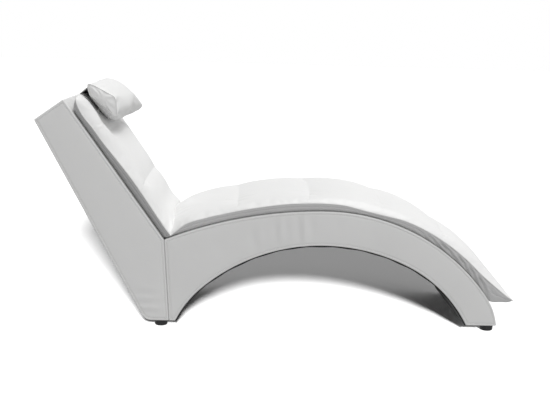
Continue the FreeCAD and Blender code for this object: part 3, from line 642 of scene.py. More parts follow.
def stitches(name, shell):
    """A row of thread stitches along both side faces of a cover, in one mesh."""
    inner = shell.outline + shell.into * STITCH_DEPTH
    closed = np.vstack([inner, inner[:1]])
    total = lengths(closed)[-1]
    places = np.linspace(0, total, int(total / STITCH_PITCH), endpoint=False)
    starts, ends = along(closed, places), along(closed, (places + STITCH_LENGTH) % total)
    turns = [math.radians(360 / STITCH_SIDES * k) for k in range(STITCH_SIDES)]
    points, faces = [], []
    for side in (-1, 1):
        for a, b in zip(starts, ends):
            run = (b - a) / max(np.linalg.norm(b - a), 1e-6)
            across = np.array([-run[1], run[0]])
            faces += loft(len(STITCH_PROFILE), STITCH_SIDES, len(points))
            for t, size in STITCH_PROFILE:
                for turn in turns:
                    out = STITCH_THICK * size * math.sin(turn)
                    wide = STITCH_THICK * size * math.cos(turn)
                    x, z = (a + b) / 2 + run * t * STITCH_LENGTH + across * wide
                    points.append((x, side * (HALF + STITCH_LIFT + 0.35 * size + out), z))
    piece = add_mesh(name, points, faces, [THREAD])
    piece.data.validate()
    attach(piece, "frame")


def upholster(module, shell, swell, folds):
    """A cover over its shell: sewn edges, padding that swells in the side faces, and soft
    folds there, each given by its place, its two widths and its height."""
    x, y, z = shell.points.T
    side = unit((np.abs(y) - COVER_SIDE) / 6)
    lift = side * edge_seam(shell.depth)
    lift += side * swell * (1 - np.exp(-np.clip(shell.depth - 9, 0, 60) / 14))
    for fold_x, fold_z, wide, high, height in folds:
        lift += side * height * np.exp(-((x - fold_x) / wide) ** 2 - ((z - fold_z) / high) ** 2)
    stitches(module + "_stitching", shell)
    points = shell.points + shell.normals * lift[:, None]
    return subdivide(add_mesh(module + "_upholstery", points, shell.faces, [WHITE]))


SEAT_FOLDS = (
    (-80, 300, 13, 22, -2.8), (-60, 296, 11, 20, 1.9), (-10, 330, 9, 28, -2.6),
    (8, 322, 9, 26, 2.2), (26, 330, 9, 24, -2.0), (64, 338, 11, 34, -3.2),
    (84, 326, 10, 34, 2.6), (104, 340, 11, 26, -2.4), (-200, 270, 22, 12, -0.9),
    (-260, 250, 26, 10, -0.7), (190, 345, 14, 18, -0.7), (300, 320, 16, 20, -0.6),
)
SEAT_FOLD_STRETCH = 1.4
BACK_FOLDS = (
    (-420, 50, 42, 6, -2.2), (-412, 64, 36, 6, 1.8), (-430, 80, 40, 7, -2.0),
    (-415, 96, 30, 7, 1.5), (-438, 112, 30, 8, -1.4), (-405, 128, 26, 8, 1.0),
)


def seat_cover():
    foot, top = ((seam_x(z, MODULE_GAP), z) for z in (LEG_Z, SEAT_SEAM_TOP))
    upper = np.vstack([line(foot, top), crown_curve(0, top[0], LEG_Z)[1:]])
    corner = lengths(upper)[np.argmin(np.linalg.norm(upper - top, axis=1))]
    folds = [(x, z, wide, high * SEAT_FOLD_STRETCH, h) for x, z, wide, high, h in SEAT_FOLDS]
    return upholster("seat", Shell(arch_curve(), upper, corner), 1.6, folds)


def back_cover():
    top_rear = back_point(-BACK_THICK, BACK_LENGTH)
    lean = math.radians(REAR_LEAN_DEGREES)
    normal_in = np.array([math.cos(lean), math.sin(lean)])
    down = np.array([math.sin(lean), -math.cos(lean)])
    # The heel's curve has its centre one radius in from the rear face and one above the base.
    inner_top = top_rear + normal_in * HEEL_RADIUS
    centre = inner_top + down * ((inner_top[1] - (LEG_Z + HEEL_RADIUS)) / math.cos(lean))
    rear_start = centre - normal_in * HEEL_RADIUS
    foot, top = ((seam_x(z, -MODULE_GAP), z) for z in (LEG_Z, BACK_SEAM_TOP))
    seam = line(foot, top)
    upper = np.vstack([seam, line(top, back_point(0, BACK_LENGTH))[1:]])
    heel = arc(*centre, HEEL_RADIUS, 180, 180 + 90 - REAR_LEAN_DEGREES)
    lower = np.vstack([heel, line(rear_start, top_rear)[1:]])
    shell = Shell(lower, upper, lengths(seam)[-1], middle=8)
    return upholster("back", shell, 1.8, BACK_FOLDS)


seat = seat_cover()
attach(seat, "frame")
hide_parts("seat_cover", "seat_top_padding", "seat_side_padding_left",
            "seat_side_padding_right")
back = back_cover()
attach(back, "frame")
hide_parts("back_cover", "back_front_padding", "back_rear_padding",
            "back_side_padding_left", "back_side_padding_right")


# The mattress.
PAD_GAP = 0.3
PAD_HALF = 253.0
BAND_FOOT = 242.0           # half width at the foot of the side bands
BAND_LEAN_BACK = 7.0        # how much narrower the foot is along the back
TUCK_ROWS_BACK = (385.0, 159.0)
TUCK_ROWS_SEAT = (222.0, 458.0, 694.0, 925.0)
TUCK_REACH = 172.0
UNDER_PILLOW = 46.0
TOP_COLUMNS = 75


def pad_curves():
    """The mattress in the side view, as matching runs from its upper end to the foot end:
    the underside, the band's upper seam at the sides, and the crown along the middle."""
    fold = CREASE + (2.0, 4.0)
    low_back = np.vstack([
        smooth_curve([back_point(*p) for p in ((17, 514), (9, 508), (3, 497), (0.6, 480))], 60),
        line(back_point(0.4, 478), back_point(PAD_GAP, 6)), [fold]])
    under = crown_curve(PAD_GAP, CREASE[0] + 8.0, 103)
    last = under[-1]
    low_seat = np.vstack([[fold], under, smooth_curve(
        [last, last + [3.5, -3.6], last + [9, -4.6], (740, 98.3), (764, 98.4), (769, 100)],
        90)[1:]])
    seam_back = smooth_curve(
        [*[back_point(*p) for p in ((33, 525), (27.5, 512), (22, 490), (20, 460))],
         (-597, 647), (-561, 598), (-516, 542), (-467, 479), (-423, 416), (-381, 353),
         (-352, 312), (-345, 303)], 600)
    seam_seat = smooth_curve(
        [(-345, 303), (-333, 314), (-300, 340), (-236, 362), (-173, 378), (-110, 392),
         (-46, 403), (18, 412), (81, 416), (145, 417), (210, 412), (274, 397), (340, 382),
         (405, 366), (471, 338), (538, 299), (606, 248), (675, 184), (710, 155), (745, 127),
         (774, 106.5)], 1500)
    crown_back = smooth_curve(
        [*[back_point(*p) for p in ((38, 530.5), (46, 524), (51.5, 506), (54, 470), (55, 400),
                                    (56, 250), (55, 130), (49, 84))], (-337, 347)], 600)
    over = crown_curve(55, -300, 98)
    crown_seat = np.vstack([
        smooth_curve([(-337, 347), (-325, 357), over[over[:, 0] > -295][0]], 30),
        over[(over[:, 0] > -290) & (over[:, 0] < 560)]])
    crown_seat = np.vstack([crown_seat, smooth_curve(
        [crown_seat[-1], (640, 262), (700, 194), (742, 145), (764, 121), (772, 113)],
        200)[1:]])
    return (low_back, low_seat), (seam_back, seam_seat), (crown_back, crown_seat)


def pad_stations():
    """Matching points of the three runs, closer together at the fold and the rows of tucks."""
    curves = pad_curves()
    back_length, seat_length = (lengths(run)[-1] for run in curves[2])
    rows_back = [back_length - u for u in TUCK_ROWS_BACK]
    a = spread(0, back_length, 8.0, rows_back, fine=2.5, reach=7)
    b = spread(0, seat_length, 8.0, TUCK_ROWS_SEAT, fine=2.5, reach=7)
    runs = [np.vstack([along(back_run, a / back_length * lengths(back_run)[-1]),
                       along(seat_run, b / seat_length * lengths(seat_run)[-1])[1:]])
            for back_run, seat_run in curves]
    rows = rows_back + [back_length + t for t in TUCK_ROWS_SEAT]
    return runs, np.concatenate([a, back_length + b[1:]]), rows, back_length


def tuck_depth(s, y, rows):
    """How deep the stitched rows pull the top in: a soft valley across, and a short sharp
    crease and two small pleats at each end.  The rows nearer the foot end pull less."""
    depth = np.zeros(np.broadcast(s, y).shape)
    past = np.abs(y) - TUCK_REACH
    for number, row in enumerate(rows):
        off = s - row + 0.05 * past * (1 if number % 2 else -1)
        depth += falling(past / 12) * (4.2 if number < 4 else 1.8) * np.exp(-np.abs(off) / 34)
        depth += bump(past, -42, 58) * 2.6 * np.exp(-np.abs(off) / 6)
        depth += 3.6 * np.exp(-np.hypot(off * 0.9, past * 0.7) / 11)
        for turn in (-0.55, 0.5):
            depth += 1.3 * np.exp(-np.abs(off - turn * past) / 4) * bump(past, 22, 20)
    return depth


# Levels up the side band, and how far each stands out: a rounded foot, a plain strip, a seam,
# a raised strip and the upper seam.
BAND_PROFILE = ((0.0, -3.4), (0.05, -1.2), (0.12, 0.2), (0.3, 1.2), (0.46, 0.9), (0.53, -0.1),
                (0.57, -1.5), (0.61, 0.0), (0.7, 1.5), (0.8, 1.2), (0.88, 0.2), (0.94, -1.4))
# Creases out of the pinch at each side of the fold: angle from square across, depth, reach.
PINCHES = ((16, 2.4, 60), (38, 3.6, 75), (63, 3.0, 60), (118, 2.6, 50), (150, 2.8, 65))
SLACK_FOLDS = 26


def fold_bunches(ahead, y, rise):
    """How deep the top is gathered near the fold, by the distance ahead of it."""
    inside = PAD_HALF - np.abs(y)
    near_edge = unit(rise * 3)
    deep = (3.2 * np.sin(ahead / 5.4 + 0.06 * y) * np.exp(-(ahead / 46) ** 2)
            * np.exp(-(inside / 60) ** 2) * near_edge)
    from_pinch = np.hypot(ahead, inside)
    for angle, depth, reach in PINCHES:
        a = math.radians(angle)
        off = np.abs(inside * math.cos(a) - ahead * math.sin(a)) / (1 + from_pinch / 60)
        towards = ahead * math.cos(a) + inside * math.sin(a)
        deep += (depth * np.exp(-off / 3.6) * np.exp(-from_pinch / reach) * (towards > 0)
                 * near_edge)
    return deep


def slack_folds(s, y):
    """Very shallow folds laid over the top at random."""
    wave = np.zeros(np.broadcast(s, y).shape)
    for _ in range(SLACK_FOLDS):
        at_s, at_y = rng.uniform(60, s[-1, 0] - 60), rng.uniform(-215, 215)
        angle, length, width = rng.uniform(-0.9, 0.9), rng.uniform(35, 90), rng.uniform(7, 14)
        a = (s - at_s) * math.cos(angle) + (y - at_y) * math.sin(angle)
        b = -(s - at_s) * math.sin(angle) + (y - at_y) * math.cos(angle)
        wave += rng.uniform(0.4, 1.1) * np.exp(-(a / width) ** 2 - (b / length) ** 2)
    return wave


def side_bands(low, seam, s, fold_s, foot):
    """Both side bands, leaning in towards the frame, with wrinkles at the foot end and fold."""
    foot_wrinkles = 6.0 * unit((s - (s[-1] - 430)) / 90) * unit((s[-1] - 60 - s) / 60)
    fold_wrinkles = 1.6 * np.exp(-((s - fold_s) / 36) ** 2)
    bands = []
    for side in (-1, 1):
        for k, out in BAND_PROFILE:
            across = foot + (PAD_HALF - foot) * math.sin(k * math.pi / 2) ** 0.9 + out
            body = max(math.sin(min(1.0, k * 1.15) * math.pi), 0.1) if k < 0.87 else 0.3
            phase = s + 92 * k + 10 * np.sin(s / 31)
            across += foot_wrinkles * body * np.sin(2 * math.pi * phase / 56)
            across += fold_wrinkles * body * np.sin(2 * math.pi * (s + 7 * k) / 13)
            bands.append(at_y(low * (1 - k) + seam * k, side * across))
    return bands


def mattress_mesh():
    """The mattress's points and faces, and what mattress() needs to find its way in them."""
    (low, seam, crown), s, rows, fold_s = pad_stations()
    n, b = len(low), len(BAND_PROFILE)
    edge = np.linspace(-1, 1, TOP_COLUMNS)
    t = np.sin(edge * math.pi / 2) * 0.5 + edge * 0.5
    for side in (-1, 1):
        t[np.argmin(np.abs(t * PAD_HALF - side * TUCK_REACH))] = side * TUCK_REACH / PAD_HALF
    y = t * PAD_HALF
    across, ahead = y[None], (s - fold_s)[:, None]
    back_part = falling((s - fold_s) / 20)
    upper_back = falling((s - 175) / 22)
    squareness = 2.7 + 1.2 * back_part + 3.2 * upper_back
    rise = (1 - np.abs(t)[None] ** squareness[:, None]) ** 0.56
    down = low - crown
    down /= np.linalg.norm(down, axis=1)[:, None]
    end_fade = unit(np.minimum(s, s[-1] - s) / 60)[:, None]
    fold_fade = unit((np.abs(ahead) - 30) / 60)
    dip = tuck_depth(s[:, None], across, rows) * unit(rise * 1.3) * end_fade * fold_fade
    # Beside the pillow the edge of the back bulges up in a roll.
    dip -= 5.5 * (upper_back * unit(s / 30))[:, None] * bump(np.abs(across), 219, 21)
    dip += fold_bunches(ahead, across, rise) + slack_folds(s[:, None], across) * end_fade
    # The seat's rear end pushes up against the back, more on the far side.
    push_reach = np.where(ahead < 0, 15.0, 46.0)
    push = 14.0 * bump(across, -35, 125) * np.exp(-(ahead / push_reach) ** 2) * rise
    top = (seam[:, None] + (crown - seam)[:, None] * rise[..., None]
           + down[:, None] * dip[..., None] + push[..., None] * np.array([-0.5, 0.86]))
    foot = BAND_FOOT - BAND_LEAN_BACK * back_part
    bands = side_bands(low, seam, s, fold_s, foot)
    columns = [at_y(top[:, j], y[j]) for j in range(TOP_COLUMNS)]
    under = [at_y(low, (foot - 9.0) * v) for v in np.linspace(-1, 1, 24)]
    loop = np.array(bands[:b] + columns + bands[b:][::-1] + under[::-1]).transpose(1, 0, 2)
    # The corners are rounded in plan at both ends.
    corner = unit(1 - np.minimum(s, s[-1] - s) / 26) ** 2
    loop[..., 1] *= (1 - 0.034 * corner)[:, None]
    m = loop.shape[1]
    layers, total = [loop.reshape(-1, 3)], n * m
    grid = numbers(n, m)
    faces = grid_faces(grid, wrap=True)
    for row in (0, n - 1):
        centre = loop[row].mean(0)
        rings = [centre + (loop[row] - centre) * np.array([k, 1 - (1 - k) * 0.12, k])
                 for k in (0.9, 0.6, 0.25)]
        total = close_end(layers, faces, total, grid[row].tolist(), rings, turn=b // 2)
    middle = low * 0.5 + crown * 0.5
    return np.vstack(layers), faces, (n, m, b), (s, y, rows, fold_s), middle


def press_under_pillow(points):
    """The pillow's weight keeps the top of the mattress flat below it."""
    out, up = back_place(points)
    under = unit((up - 352) / 34) * unit((204 - np.abs(points[:, 1])) / 16)
    move_out(points, -np.maximum(out - UNDER_PILLOW, 0) * under)


def tube(path, radius, sides=8):
    """Points and faces of a round tube along a closed path."""
    ahead = np.roll(path, -1, 0) - np.roll(path, 1, 0)
    ahead /= np.maximum(np.linalg.norm(ahead, axis=1), 1e-9)[:, None]
    first = np.cross(ahead, [0.0, 1.0, 0.0])
    weak = np.linalg.norm(first, axis=1) < 0.3
    first[weak] = np.cross(ahead[weak], [0.3, 0.0, 1.0])
    first /= np.linalg.norm(first, axis=1)[:, None]
    second = np.cross(ahead, first)
    turns = np.radians(np.arange(sides) * 360 / sides)[None, :, None]
    points = path[:, None] + radius * (np.cos(turns) * first[:, None]
                                       + np.sin(turns) * second[:, None])
    grid = numbers(len(path), sides)
    return points.reshape(-1, 3), grid_faces(np.vstack([grid, grid[:1]]), wrap=True)


def seam_cord(name, path, radius, body):
    piece = add_mesh(name, *tube(path, radius), [PAD_TOP])
    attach(piece, body)


CLOTH_FRAMES, CLOTH_PRESSURE = 20, 4.0


def inflate(name, points, faces, held, cap, slack, stiff):
    """Where cloth under pressure from within ends up.  held says how firmly each point stays
    (1 is fast), slack how much larger the cloth is, cap how far a point may move at most."""
    mesh = bpy.data.meshes.new(name + "_trial")
    mesh.from_pydata((points * MM).tolist(), [], [tuple(int(i) for i in f) for f in faces])
    mesh.update()
    trial = new_object(name + "_trial", mesh)
    group = trial.vertex_groups.new(name="held")
    for value in np.unique(np.round(held, 2)):
        if value > 0:
            members = np.nonzero(np.abs(held - value) < 0.005)[0]
            group.add([int(i) for i in members], float(value), "REPLACE")
    modifier = trial.modifiers.new("cloth", "CLOTH")
    c = modifier.settings
    c.quality = 6
    c.mass = 0.4
    c.tension_stiffness = c.compression_stiffness = stiff
    c.shear_stiffness = stiff * 0.5
    c.bending_stiffness = 0.35
    c.tension_damping = c.compression_damping = c.shear_damping = 12
    c.bending_damping = 1.5
    c.air_damping = 4
    c.vertex_group_mass = "held"
    c.pin_stiffness = 1.0
    c.use_pressure = True
    c.uniform_pressure_force = CLOTH_PRESSURE
    c.shrink_min = -slack
    c.effector_weights.gravity = 0
    modifier.collision_settings.use_collision = False
    modifier.collision_settings.use_self_collision = False
    modifier.point_cache.frame_start, modifier.point_cache.frame_end = 1, CLOTH_FRAMES
    scene = bpy.context.scene
    for number in range(1, CLOTH_FRAMES + 1):
        scene.frame_set(number)
    evaluated = trial.evaluated_get(bpy.context.evaluated_depsgraph_get())
    result = np.zeros(len(points) * 3)
    evaluated.data.vertices.foreach_get("co", result)
    scene.frame_set(1)
    bpy.data.objects.remove(trial)
    bpy.data.meshes.remove(mesh)
    moved = result.reshape(-1, 3) / MM - points
    size = np.linalg.norm(moved, axis=1)
    size[~np.isfinite(size)] = 0
    moved[~np.isfinite(moved).all(1)] = 0
    return points + moved * (cap * np.tanh(size / cap) / np.maximum(size, 1e-6))[:, None]


def mattress():
    points, faces, (n, m, b), (s, y, rows, fold_s), middle = mattress_mesh()
    far = b + TOP_COLUMNS - 1
    body = n * m
    caps = (len(points) - body) // 2
    # Which way the faces look: away from the middle, out of the bands, and out of both ends.
    away = np.zeros_like(points)
    loop = away[:body].reshape(n, m, 3)
    loop[:] = (points[:body].reshape(n, m, 3) - at_y(middle, 0)[:, None]) * [1, 0.08, 1]
    loop[:, 1:b] = [0, -1, 0]
    loop[:, far + 1:2 * b + TOP_COLUMNS - 1] = [0, 1, 0]
    away[body:body + caps] = [-SIN_BACK * 9, 0, COS_BACK * 9]
    away[body + caps:] = [9, 0, -2]
    faces = face_out(points, faces, away)
    held = np.zeros(len(points))
    grid = held[:body].reshape(n, m)
    grid[:, :b + 1] = grid[:, far:] = 1
    within = np.abs(y) <= TUCK_REACH + 1
    ends = np.abs(np.abs(y) - TUCK_REACH) < 2
    for row in rows:
        k = np.argmin(np.abs(s - row))
        grid[k, b:far + 1][within] = np.where(ends, 1, 0.8)[within]
    grid[np.argmin(np.abs(s - fold_s))] = grid[:2] = grid[-2:] = 1
    held[body:] = 1
    points = inflate("mattress", points, faces, held, cap=7.0, slack=0.006, stiff=14.0)
    press_under_pillow(points)
    # The bands are greyer than the top. Along the back they take a darker copy of the same
    # leather, which is painted shade for the band there. The last rings count as band.
    on_loop, column = faces < body, faces % m
    in_band = [(on_loop.sum(1) < 4), (column <= b).all(1),
               ((column >= far) & (column <= 2 * b + TOP_COLUMNS - 1)).all(1)]
    first = faces.min(1)
    on_back = s[np.where(first < body, first // m, 0)] < fold_s
    looks = np.any(in_band, axis=0) * np.where(on_back, 2, 1)
    piece = add_mesh("mattress_pad", points, faces, [PAD_TOP, PAD_SIDE, PAD_SIDE_PAINTED_SHADE], looks)
    # The corded seam round the top panel.
    grid = points[:body].reshape(n, m, 3)
    path = np.vstack([grid[:, b], grid[-1, b + 1:far], grid[::-1, far], grid[0, b + 1:far][::-1]])
    seam_cord("mattress_seam_cord", path + [0, 0, -0.6], 1.9, "mattress")
    return subdivide(piece)


pad = mattress()
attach(pad, "mattress")
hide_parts("mattress_cover", "mattress_foam")


# The head pillow: three sections, each as (out of the back's face, up it).
PILLOW_END, PILLOW_END_RUN = 189.0, 24
PILLOW_MIDDLE = (
    (48, 505), (47.5, 460), (48, 424), (56, 401), (80, 391), (110, 394), (131, 408), (140, 430),
    (138, 462), (128, 494), (110, 522), (90, 541), (70, 537), (56, 522))
PILLOW_NEAR = (
    (66, 509), (73, 484), (80, 458), (86, 434), (90, 416), (95, 409), (102, 413), (113, 430),
    (123, 448), (126, 458), (117, 480), (103, 508), (88, 534), (82, 540), (73, 530))
PILLOW_FAR = (
    (52, 508), (54, 478), (58, 448), (64, 420), (72, 401), (83, 391), (104, 386), (124, 383),
    (139, 388), (141, 402), (136, 432), (130, 463), (121, 494), (108, 517), (94, 534), (82, 540),
    (65, 527))
PILLOW_NEAR_REACH, PILLOW_FAR_REACH = 150.0, 95.0   # how far in each end's form reaches
# Steps into the end faces: size, and how far out of the end seam.
PILLOW_END_RINGS = ((0.965, -1.6), (0.93, -0.6), (0.85, 1.2), (0.6, 4.2), (0.3, 5.8))


def pillow_mesh():
    """Sections across the pillow, its pinched near end and its fuller far end closed."""
    middle, near, far = (smooth_curve([*keys, keys[0]], 73)[:-1]
                         for keys in (PILLOW_MIDDLE, PILLOW_NEAR, PILLOW_FAR))
    k = len(middle)
    round_it = np.arange(k) / k * 2 * math.pi
    run = PILLOW_END - PILLOW_END_RUN
    ys = np.concatenate([np.linspace(-PILLOW_END, -run, 5)[:-1], np.linspace(-run, run, 38),
                         np.linspace(run, PILLOW_END, 5)[1:]])
    rows = []
    for y in ys:
        from_end = PILLOW_END - abs(y)
        end, reach = (near, PILLOW_NEAR_REACH) if y < 0 else (far, PILLOW_FAR_REACH)
        w = math.sin(min(1.0, from_end / reach) * math.pi / 2) ** 1.15
        mixed = end * (1 - w) + middle * w
        # Creases run in from the end seams.
        fan = (np.sin(round_it * 11 + 0.6) * 1.3 * math.exp(-from_end / 34)
               * (1 - math.exp(-from_end / 7)))
        out = mixed - mixed.mean(0)
        mixed = mixed + out / np.linalg.norm(out, axis=1)[:, None] * fan[:, None]
        rows.append(at_y(np.array([back_point(*q) for q in mixed]), y))
    count = len(rows)
    grid = numbers(count, k)
    faces = grid_faces(grid, wrap=True)
    seams, total = (rows[0], rows[-1]), count * k
    for seam, row, side in ((seams[0], 0, -1), (seams[1], -1, 1)):
        centre = seam.mean(0)
        rings = []
        for scale, out in PILLOW_END_RINGS:
            ring = centre + (seam - centre) * scale
            ring[:, 1] += side * (out + 1.1 * np.sin(round_it * 7) * (scale > 0.5))
            rings.append(ring)
        total = close_end(rows, faces, total, grid[row].tolist(), rings)
    points = np.vstack(rows)
    return points, face_out(points, faces, points - points.mean(0)), count, k, seams


def pillow():
    points, faces, count, k, seams = pillow_mesh()
    held = np.zeros(len(points))
    held[:k] = held[(count - 1) * k:count * k] = 1
    held[count * k:] = 0.6
    held[back_place(points)[0] < UNDER_PILLOW + 5] = 1
    points = inflate("pillow", points, faces, held, cap=6.0, slack=0.02, stiff=9.0)
    move_out(points, np.maximum(UNDER_PILLOW + 0.9 - back_place(points)[0], 0))
    piece = add_mesh("pillow", points, faces, [PAD_TOP])
    for number, ring in enumerate(seams):
        seam_cord(f"pillow_seam_cord_{number + 1}", ring, 1.1, "head_pillow")
    return subdivide(piece)


head = pillow()
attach(head, "head_pillow")
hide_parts("pillow_cover", "pillow_fill")


# The flap between the pillow and the mattress.
FLAP_HALF, FLAP_THICK = 170, 0.0018


def flap():
    path = smooth_curve([(33, 527), (38, 531.5), (46.5, 532), (57, 533), (67, 534), (76, 534)],
                        25)
    ys = np.linspace(-FLAP_HALF, FLAP_HALF, 86)
    arch = np.sin(np.linspace(0, math.pi, len(path)))
    points = []
    for (n, u), slack in zip(path, arch):
        for y in ys:
            near_edge = math.exp(-((abs(y) - FLAP_HALF) / 60) ** 2)
            fold = slack * (1.2 * math.sin(y / 9.0) * near_edge + 0.8 * math.sin(y / 31.0))
            x, z = back_point(n, u + fold)
            points.append((x, y, z))
    faces = grid_faces(numbers(len(path), len(ys)))
    piece = add_mesh("pillow_flap_cloth", points, faces, [PAD_TOP])
    piece.modifiers.new("thickness", "SOLIDIFY").thickness = FLAP_THICK
    return piece


strap = flap()
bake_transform(strap)
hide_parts("pillow_flap", "pillow_flap_anchor")


# The linings.
def taut_lining(name, upper, lower, half, sag):
    """A thin panel between two runs in the side view, tacked along its edges and slack between
    the tacks; also returns its length."""
    count = len(upper)
    ys = np.concatenate([[-half, -half + 1.5, -half + 6],
                         np.linspace(-half + 18, half - 18, 34), [half - 6, half - 1.5, half]])
    k = len(ys)
    s = lengths(lower)
    away = (lower - upper) / np.linalg.norm(lower - upper, axis=1)[:, None]
    edge = np.exp(-((np.abs(ys) - half) / 26) ** 2)[None]
    ripple = (sag * np.sin(s / 14.0)[:, None] * edge
              + 0.5 * sag * np.sin(s[:, None] / 47 + ys[None] / 60))
    ripple *= unit(np.minimum(s, s[-1] - s) / 12)[:, None]
    sagging = lower[:, None] + away[:, None] * ripple[..., None]
    tight = np.repeat(upper, k, axis=0)
    points = np.vstack([at_y(run, np.tile(ys, count)) for run in (tight, sagging.reshape(-1, 2))])
    front, rear = numbers(count, k), numbers(count, k, count * k)
    faces = grid_faces(front) + grid_faces(rear, flip=True)
    for column, flip in ((0, False), (-1, True)):
        faces += grid_faces(np.array([front[:, column], rear[:, column]]), flip=flip)
    for row, flip in ((0, True), (-1, False)):
        faces += grid_faces(np.array([front[row], rear[row]]), flip=flip)
    piece = add_mesh(name, points, faces, [LINING])
    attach(piece, "frame")
    return piece, s[-1]


arch_sheet, arch_length = taut_lining("arch_lining", even(arch_curve(0.2), 150),
                                      even(arch_curve(4.0), 150), 253.0, 0.8)
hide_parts("seat_lining")
low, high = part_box("back_lining")
base_x = (low[0] / MM + 1, high[0] / MM - 1)
base_top = even(line((base_x[0], high[2] / MM), (base_x[1], high[2] / MM)), 30)
base_sheet, base_length = taut_lining("base_lining", base_top, base_top - [0, 1.9],
                                      high[1] / MM - 1, 0.4)
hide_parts("back_lining")


# The zippers.  Profiles are (across the tape, out of the cloth), for the side at +1.
TAPE_PROFILE = ((1.2, 0), (1.2, 0.7), (3.0, 0.55), (5.0, 0.6), (5.7, 0.3), (5.7, 0))
TOOTH_PROFILE = ((-0.9, 0.5), (-0.9, 1.25), (0.6, 1.6), (2.2, 1.3), (2.2, 0.6))
TOOTH_PITCH = 2.4
TOOTH_ROWS = (-0.85, -0.3, 0.3, 0.85)


def zipper(name, centre, along_u, out, half, body, replaced):
    """Two woven tapes and a coil of teeth between them, about a centre in mm; along_u crosses
    the tape and out leaves the cloth."""
    centre, along_u, out = (np.array(v, float) for v in (centre, along_u, out))
    points, faces, kinds = [], [], []

    def strip(profile, side, rows, kind):
        new = loft(len(rows), len(profile), len(points))
        points.extend(centre + along_u * side * u + out * n + np.array([0, y, 0])
                      for y in rows for u, n in profile)
        faces.extend(new)
        kinds.extend([kind] * len(new))

    for side in (-1, 1):
        strip(TAPE_PROFILE, side, np.linspace(-half, half, 60), 0)
    for number in range(int(2 * half / TOOTH_PITCH) - 2):
        y = -half + 3 + number * TOOTH_PITCH
        strip(TOOTH_PROFILE, 1 if number % 2 else -1, [y + row for row in TOOTH_ROWS], 1)
    piece = add_mesh(name, points, faces, [TAPE, COIL], kinds)
    piece.data.validate()
    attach(piece, body)
    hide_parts(replaced)


SLIDER_BODY = ((-3.3, -5.5), (-1.6, -6.5), (1.6, -6.5), (3.3, -5.5), (2.6, -1.0), (3.0, 2.5),
               (1.2, 3.2), (-1.2, 3.2), (-3.0, 2.5), (-2.6, -1.0))
SLIDER_BRIDGE = ((-0.9, -4.5), (0.9, -4.5), (0.9, 1.5), (-0.9, 1.5))
PULL_PLACE, PULL_RADIUS = 4.4, 2.2


def slider():
    """The zipper's slider: a waisted body on the coil, a bridge over it and a ring to pull."""
    low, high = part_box("mattress_zip_slider")
    mx, my = (low[0] + high[0]) / 2 / MM, (low[1] + high[1]) / 2 / MM
    z = high[2] / MM
    points, faces = [], []
    for outline, top, bottom in ((SLIDER_BODY, z - 0.1, z - 1.3),
                                 (SLIDER_BRIDGE, z - 1.2, z - 2.0)):
        faces += loft(4, len(outline), len(points))
        cx, cy = np.mean(outline, axis=0)
        for level, scale in ((top, 0.86), (top - 0.25, 1.0), (bottom + 0.25, 1.0),
                             (bottom, 0.86)):
            points += [(mx + cx + (x - cx) * scale, my + cy + (y - cy) * scale, level)
                       for x, y in outline]
    path = np.array([(mx + PULL_RADIUS * math.sin(t),
                      my + PULL_PLACE + PULL_RADIUS * math.cos(t), z - 2.1)
                     for t in np.linspace(0, 2 * math.pi, 16, endpoint=False)])
    ring_points, ring_faces = tube(path, 0.6)
    faces += [[len(points) + i for i in f] for f in ring_faces]
    piece = add_mesh("mattress_zip_pull", np.vstack([points, ring_points]), faces, [ZINC])
    piece.data.validate()
    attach(piece, "mattress")
    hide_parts("mattress_zip_slider")


low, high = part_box("mattress_zipper")
zip_centre = ((low[0] + high[0]) / 2 / MM, 0, low[2] / MM)
zipper("mattress_zip_tape", zip_centre, (1, 0, 0), (0, 0, -1), high[1] / MM, "mattress",
       "mattress_zipper")
slider()
zip_x, zip_z = back_point(UNDER_PILLOW + 1.9, 456)
zipper("pillow_zip_tape", (zip_x, 0, zip_z), (-SIN_BACK, 0, COS_BACK),
       (-COS_BACK, 0, -SIN_BACK), 129.0, "head_pillow", "pillow_zipper")


# The stage.  The floor looks paler to the camera than to the object that it would light.
FLOOR_REACH, FLOOR_BOUNCE, FLOOR_SEEN = 30, 0.36, 0.95
WORLD_LIGHT, WORLD_SEEN = 0.28, 1.0
floor_only = bpy.data.collections.new("lit_floor")
all_but_floor = bpy.data.collections.new("lit_object")


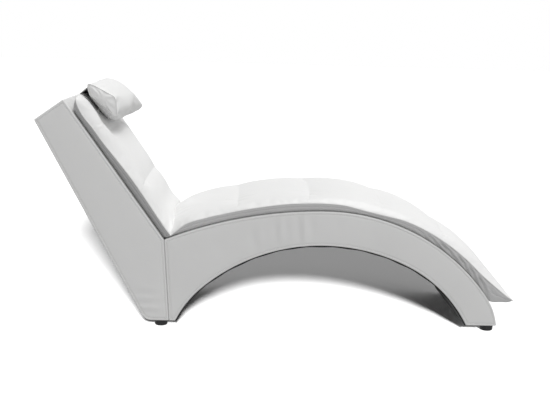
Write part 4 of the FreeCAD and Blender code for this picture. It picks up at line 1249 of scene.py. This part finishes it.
def make_floor():
    s = Surface("floor")
    seen = add_node(s.tree, "ShaderNodeLightPath").outputs["Is Camera Ray"]
    s.tint(seen, [FLOOR_BOUNCE] * 3, [FLOOR_SEEN] * 3)
    r = FLOOR_REACH
    mesh = bpy.data.meshes.new("floor")
    mesh.from_pydata([(-r, -r, 0), (r, -r, 0), (r, r, 0), (-r, r, 0)], [], [(0, 1, 2, 3)])
    mesh.materials.append(s.set(Roughness=0.9, Specular_IOR_Level=0.1))
    floor = new_object("floor", mesh)
    floor_only.objects.link(floor)
    all_but_floor.objects.link(floor)
    all_but_floor.collection_objects[0].light_linking.link_state = "EXCLUDE"


def make_world():
    world = bpy.data.worlds.new("studio")
    bpy.context.scene.world = world
    world.use_nodes = True
    tree = world.node_tree
    ambient = tree.nodes["Background"]
    ambient.inputs["Color"].default_value = (1, 1, 1, 1)
    ambient.inputs["Strength"].default_value = WORLD_LIGHT
    seen = add_node(tree, "ShaderNodeBackground", in_Color=(1, 1, 1, 1), in_Strength=WORLD_SEEN)
    ray = add_node(tree, "ShaderNodeLightPath")
    shown = ray.outputs["Is Camera Ray"]
    for name in ("Is Glossy Ray", "Is Transmission Ray"):
        either = add_node(tree, "ShaderNodeMath", operation="MAXIMUM")
        tree.links.new(shown, either.inputs[0])
        tree.links.new(ray.outputs[name], either.inputs[1])
        shown = either.outputs[0]
    mix = add_node(tree, "ShaderNodeMixShader", in_Fac=shown)
    tree.links.new(ambient.outputs[0], mix.inputs[1])
    tree.links.new(seen.outputs[0], mix.inputs[2])
    tree.links.new(mix.outputs[0], tree.nodes["World Output"].inputs["Surface"])


def sun(name, direction, strength, spread_degrees, receivers):
    """A broad, even light from a direction (towards the lamp) on what the collection names."""
    data = bpy.data.lights.new(name, "SUN")
    data.energy = strength
    data.angle = math.radians(spread_degrees)
    lamp = new_object(name, data)
    lamp.rotation_euler = Vector(direction).to_track_quat("Z", "Y").to_euler()
    lamp.light_linking.receiver_collection = receivers


make_floor()
make_world()
sun("key", (0.26, 0.05, 0.97), 2.0, 40, all_but_floor)
sun("fill", (0.3, -0.9, 0.45), 0.74, 60, all_but_floor)
sun("floor_light", (0.15, -2.5, 1.0), 9.4, 6, floor_only)

bpy.context.scene.view_settings.view_transform = "Standard"
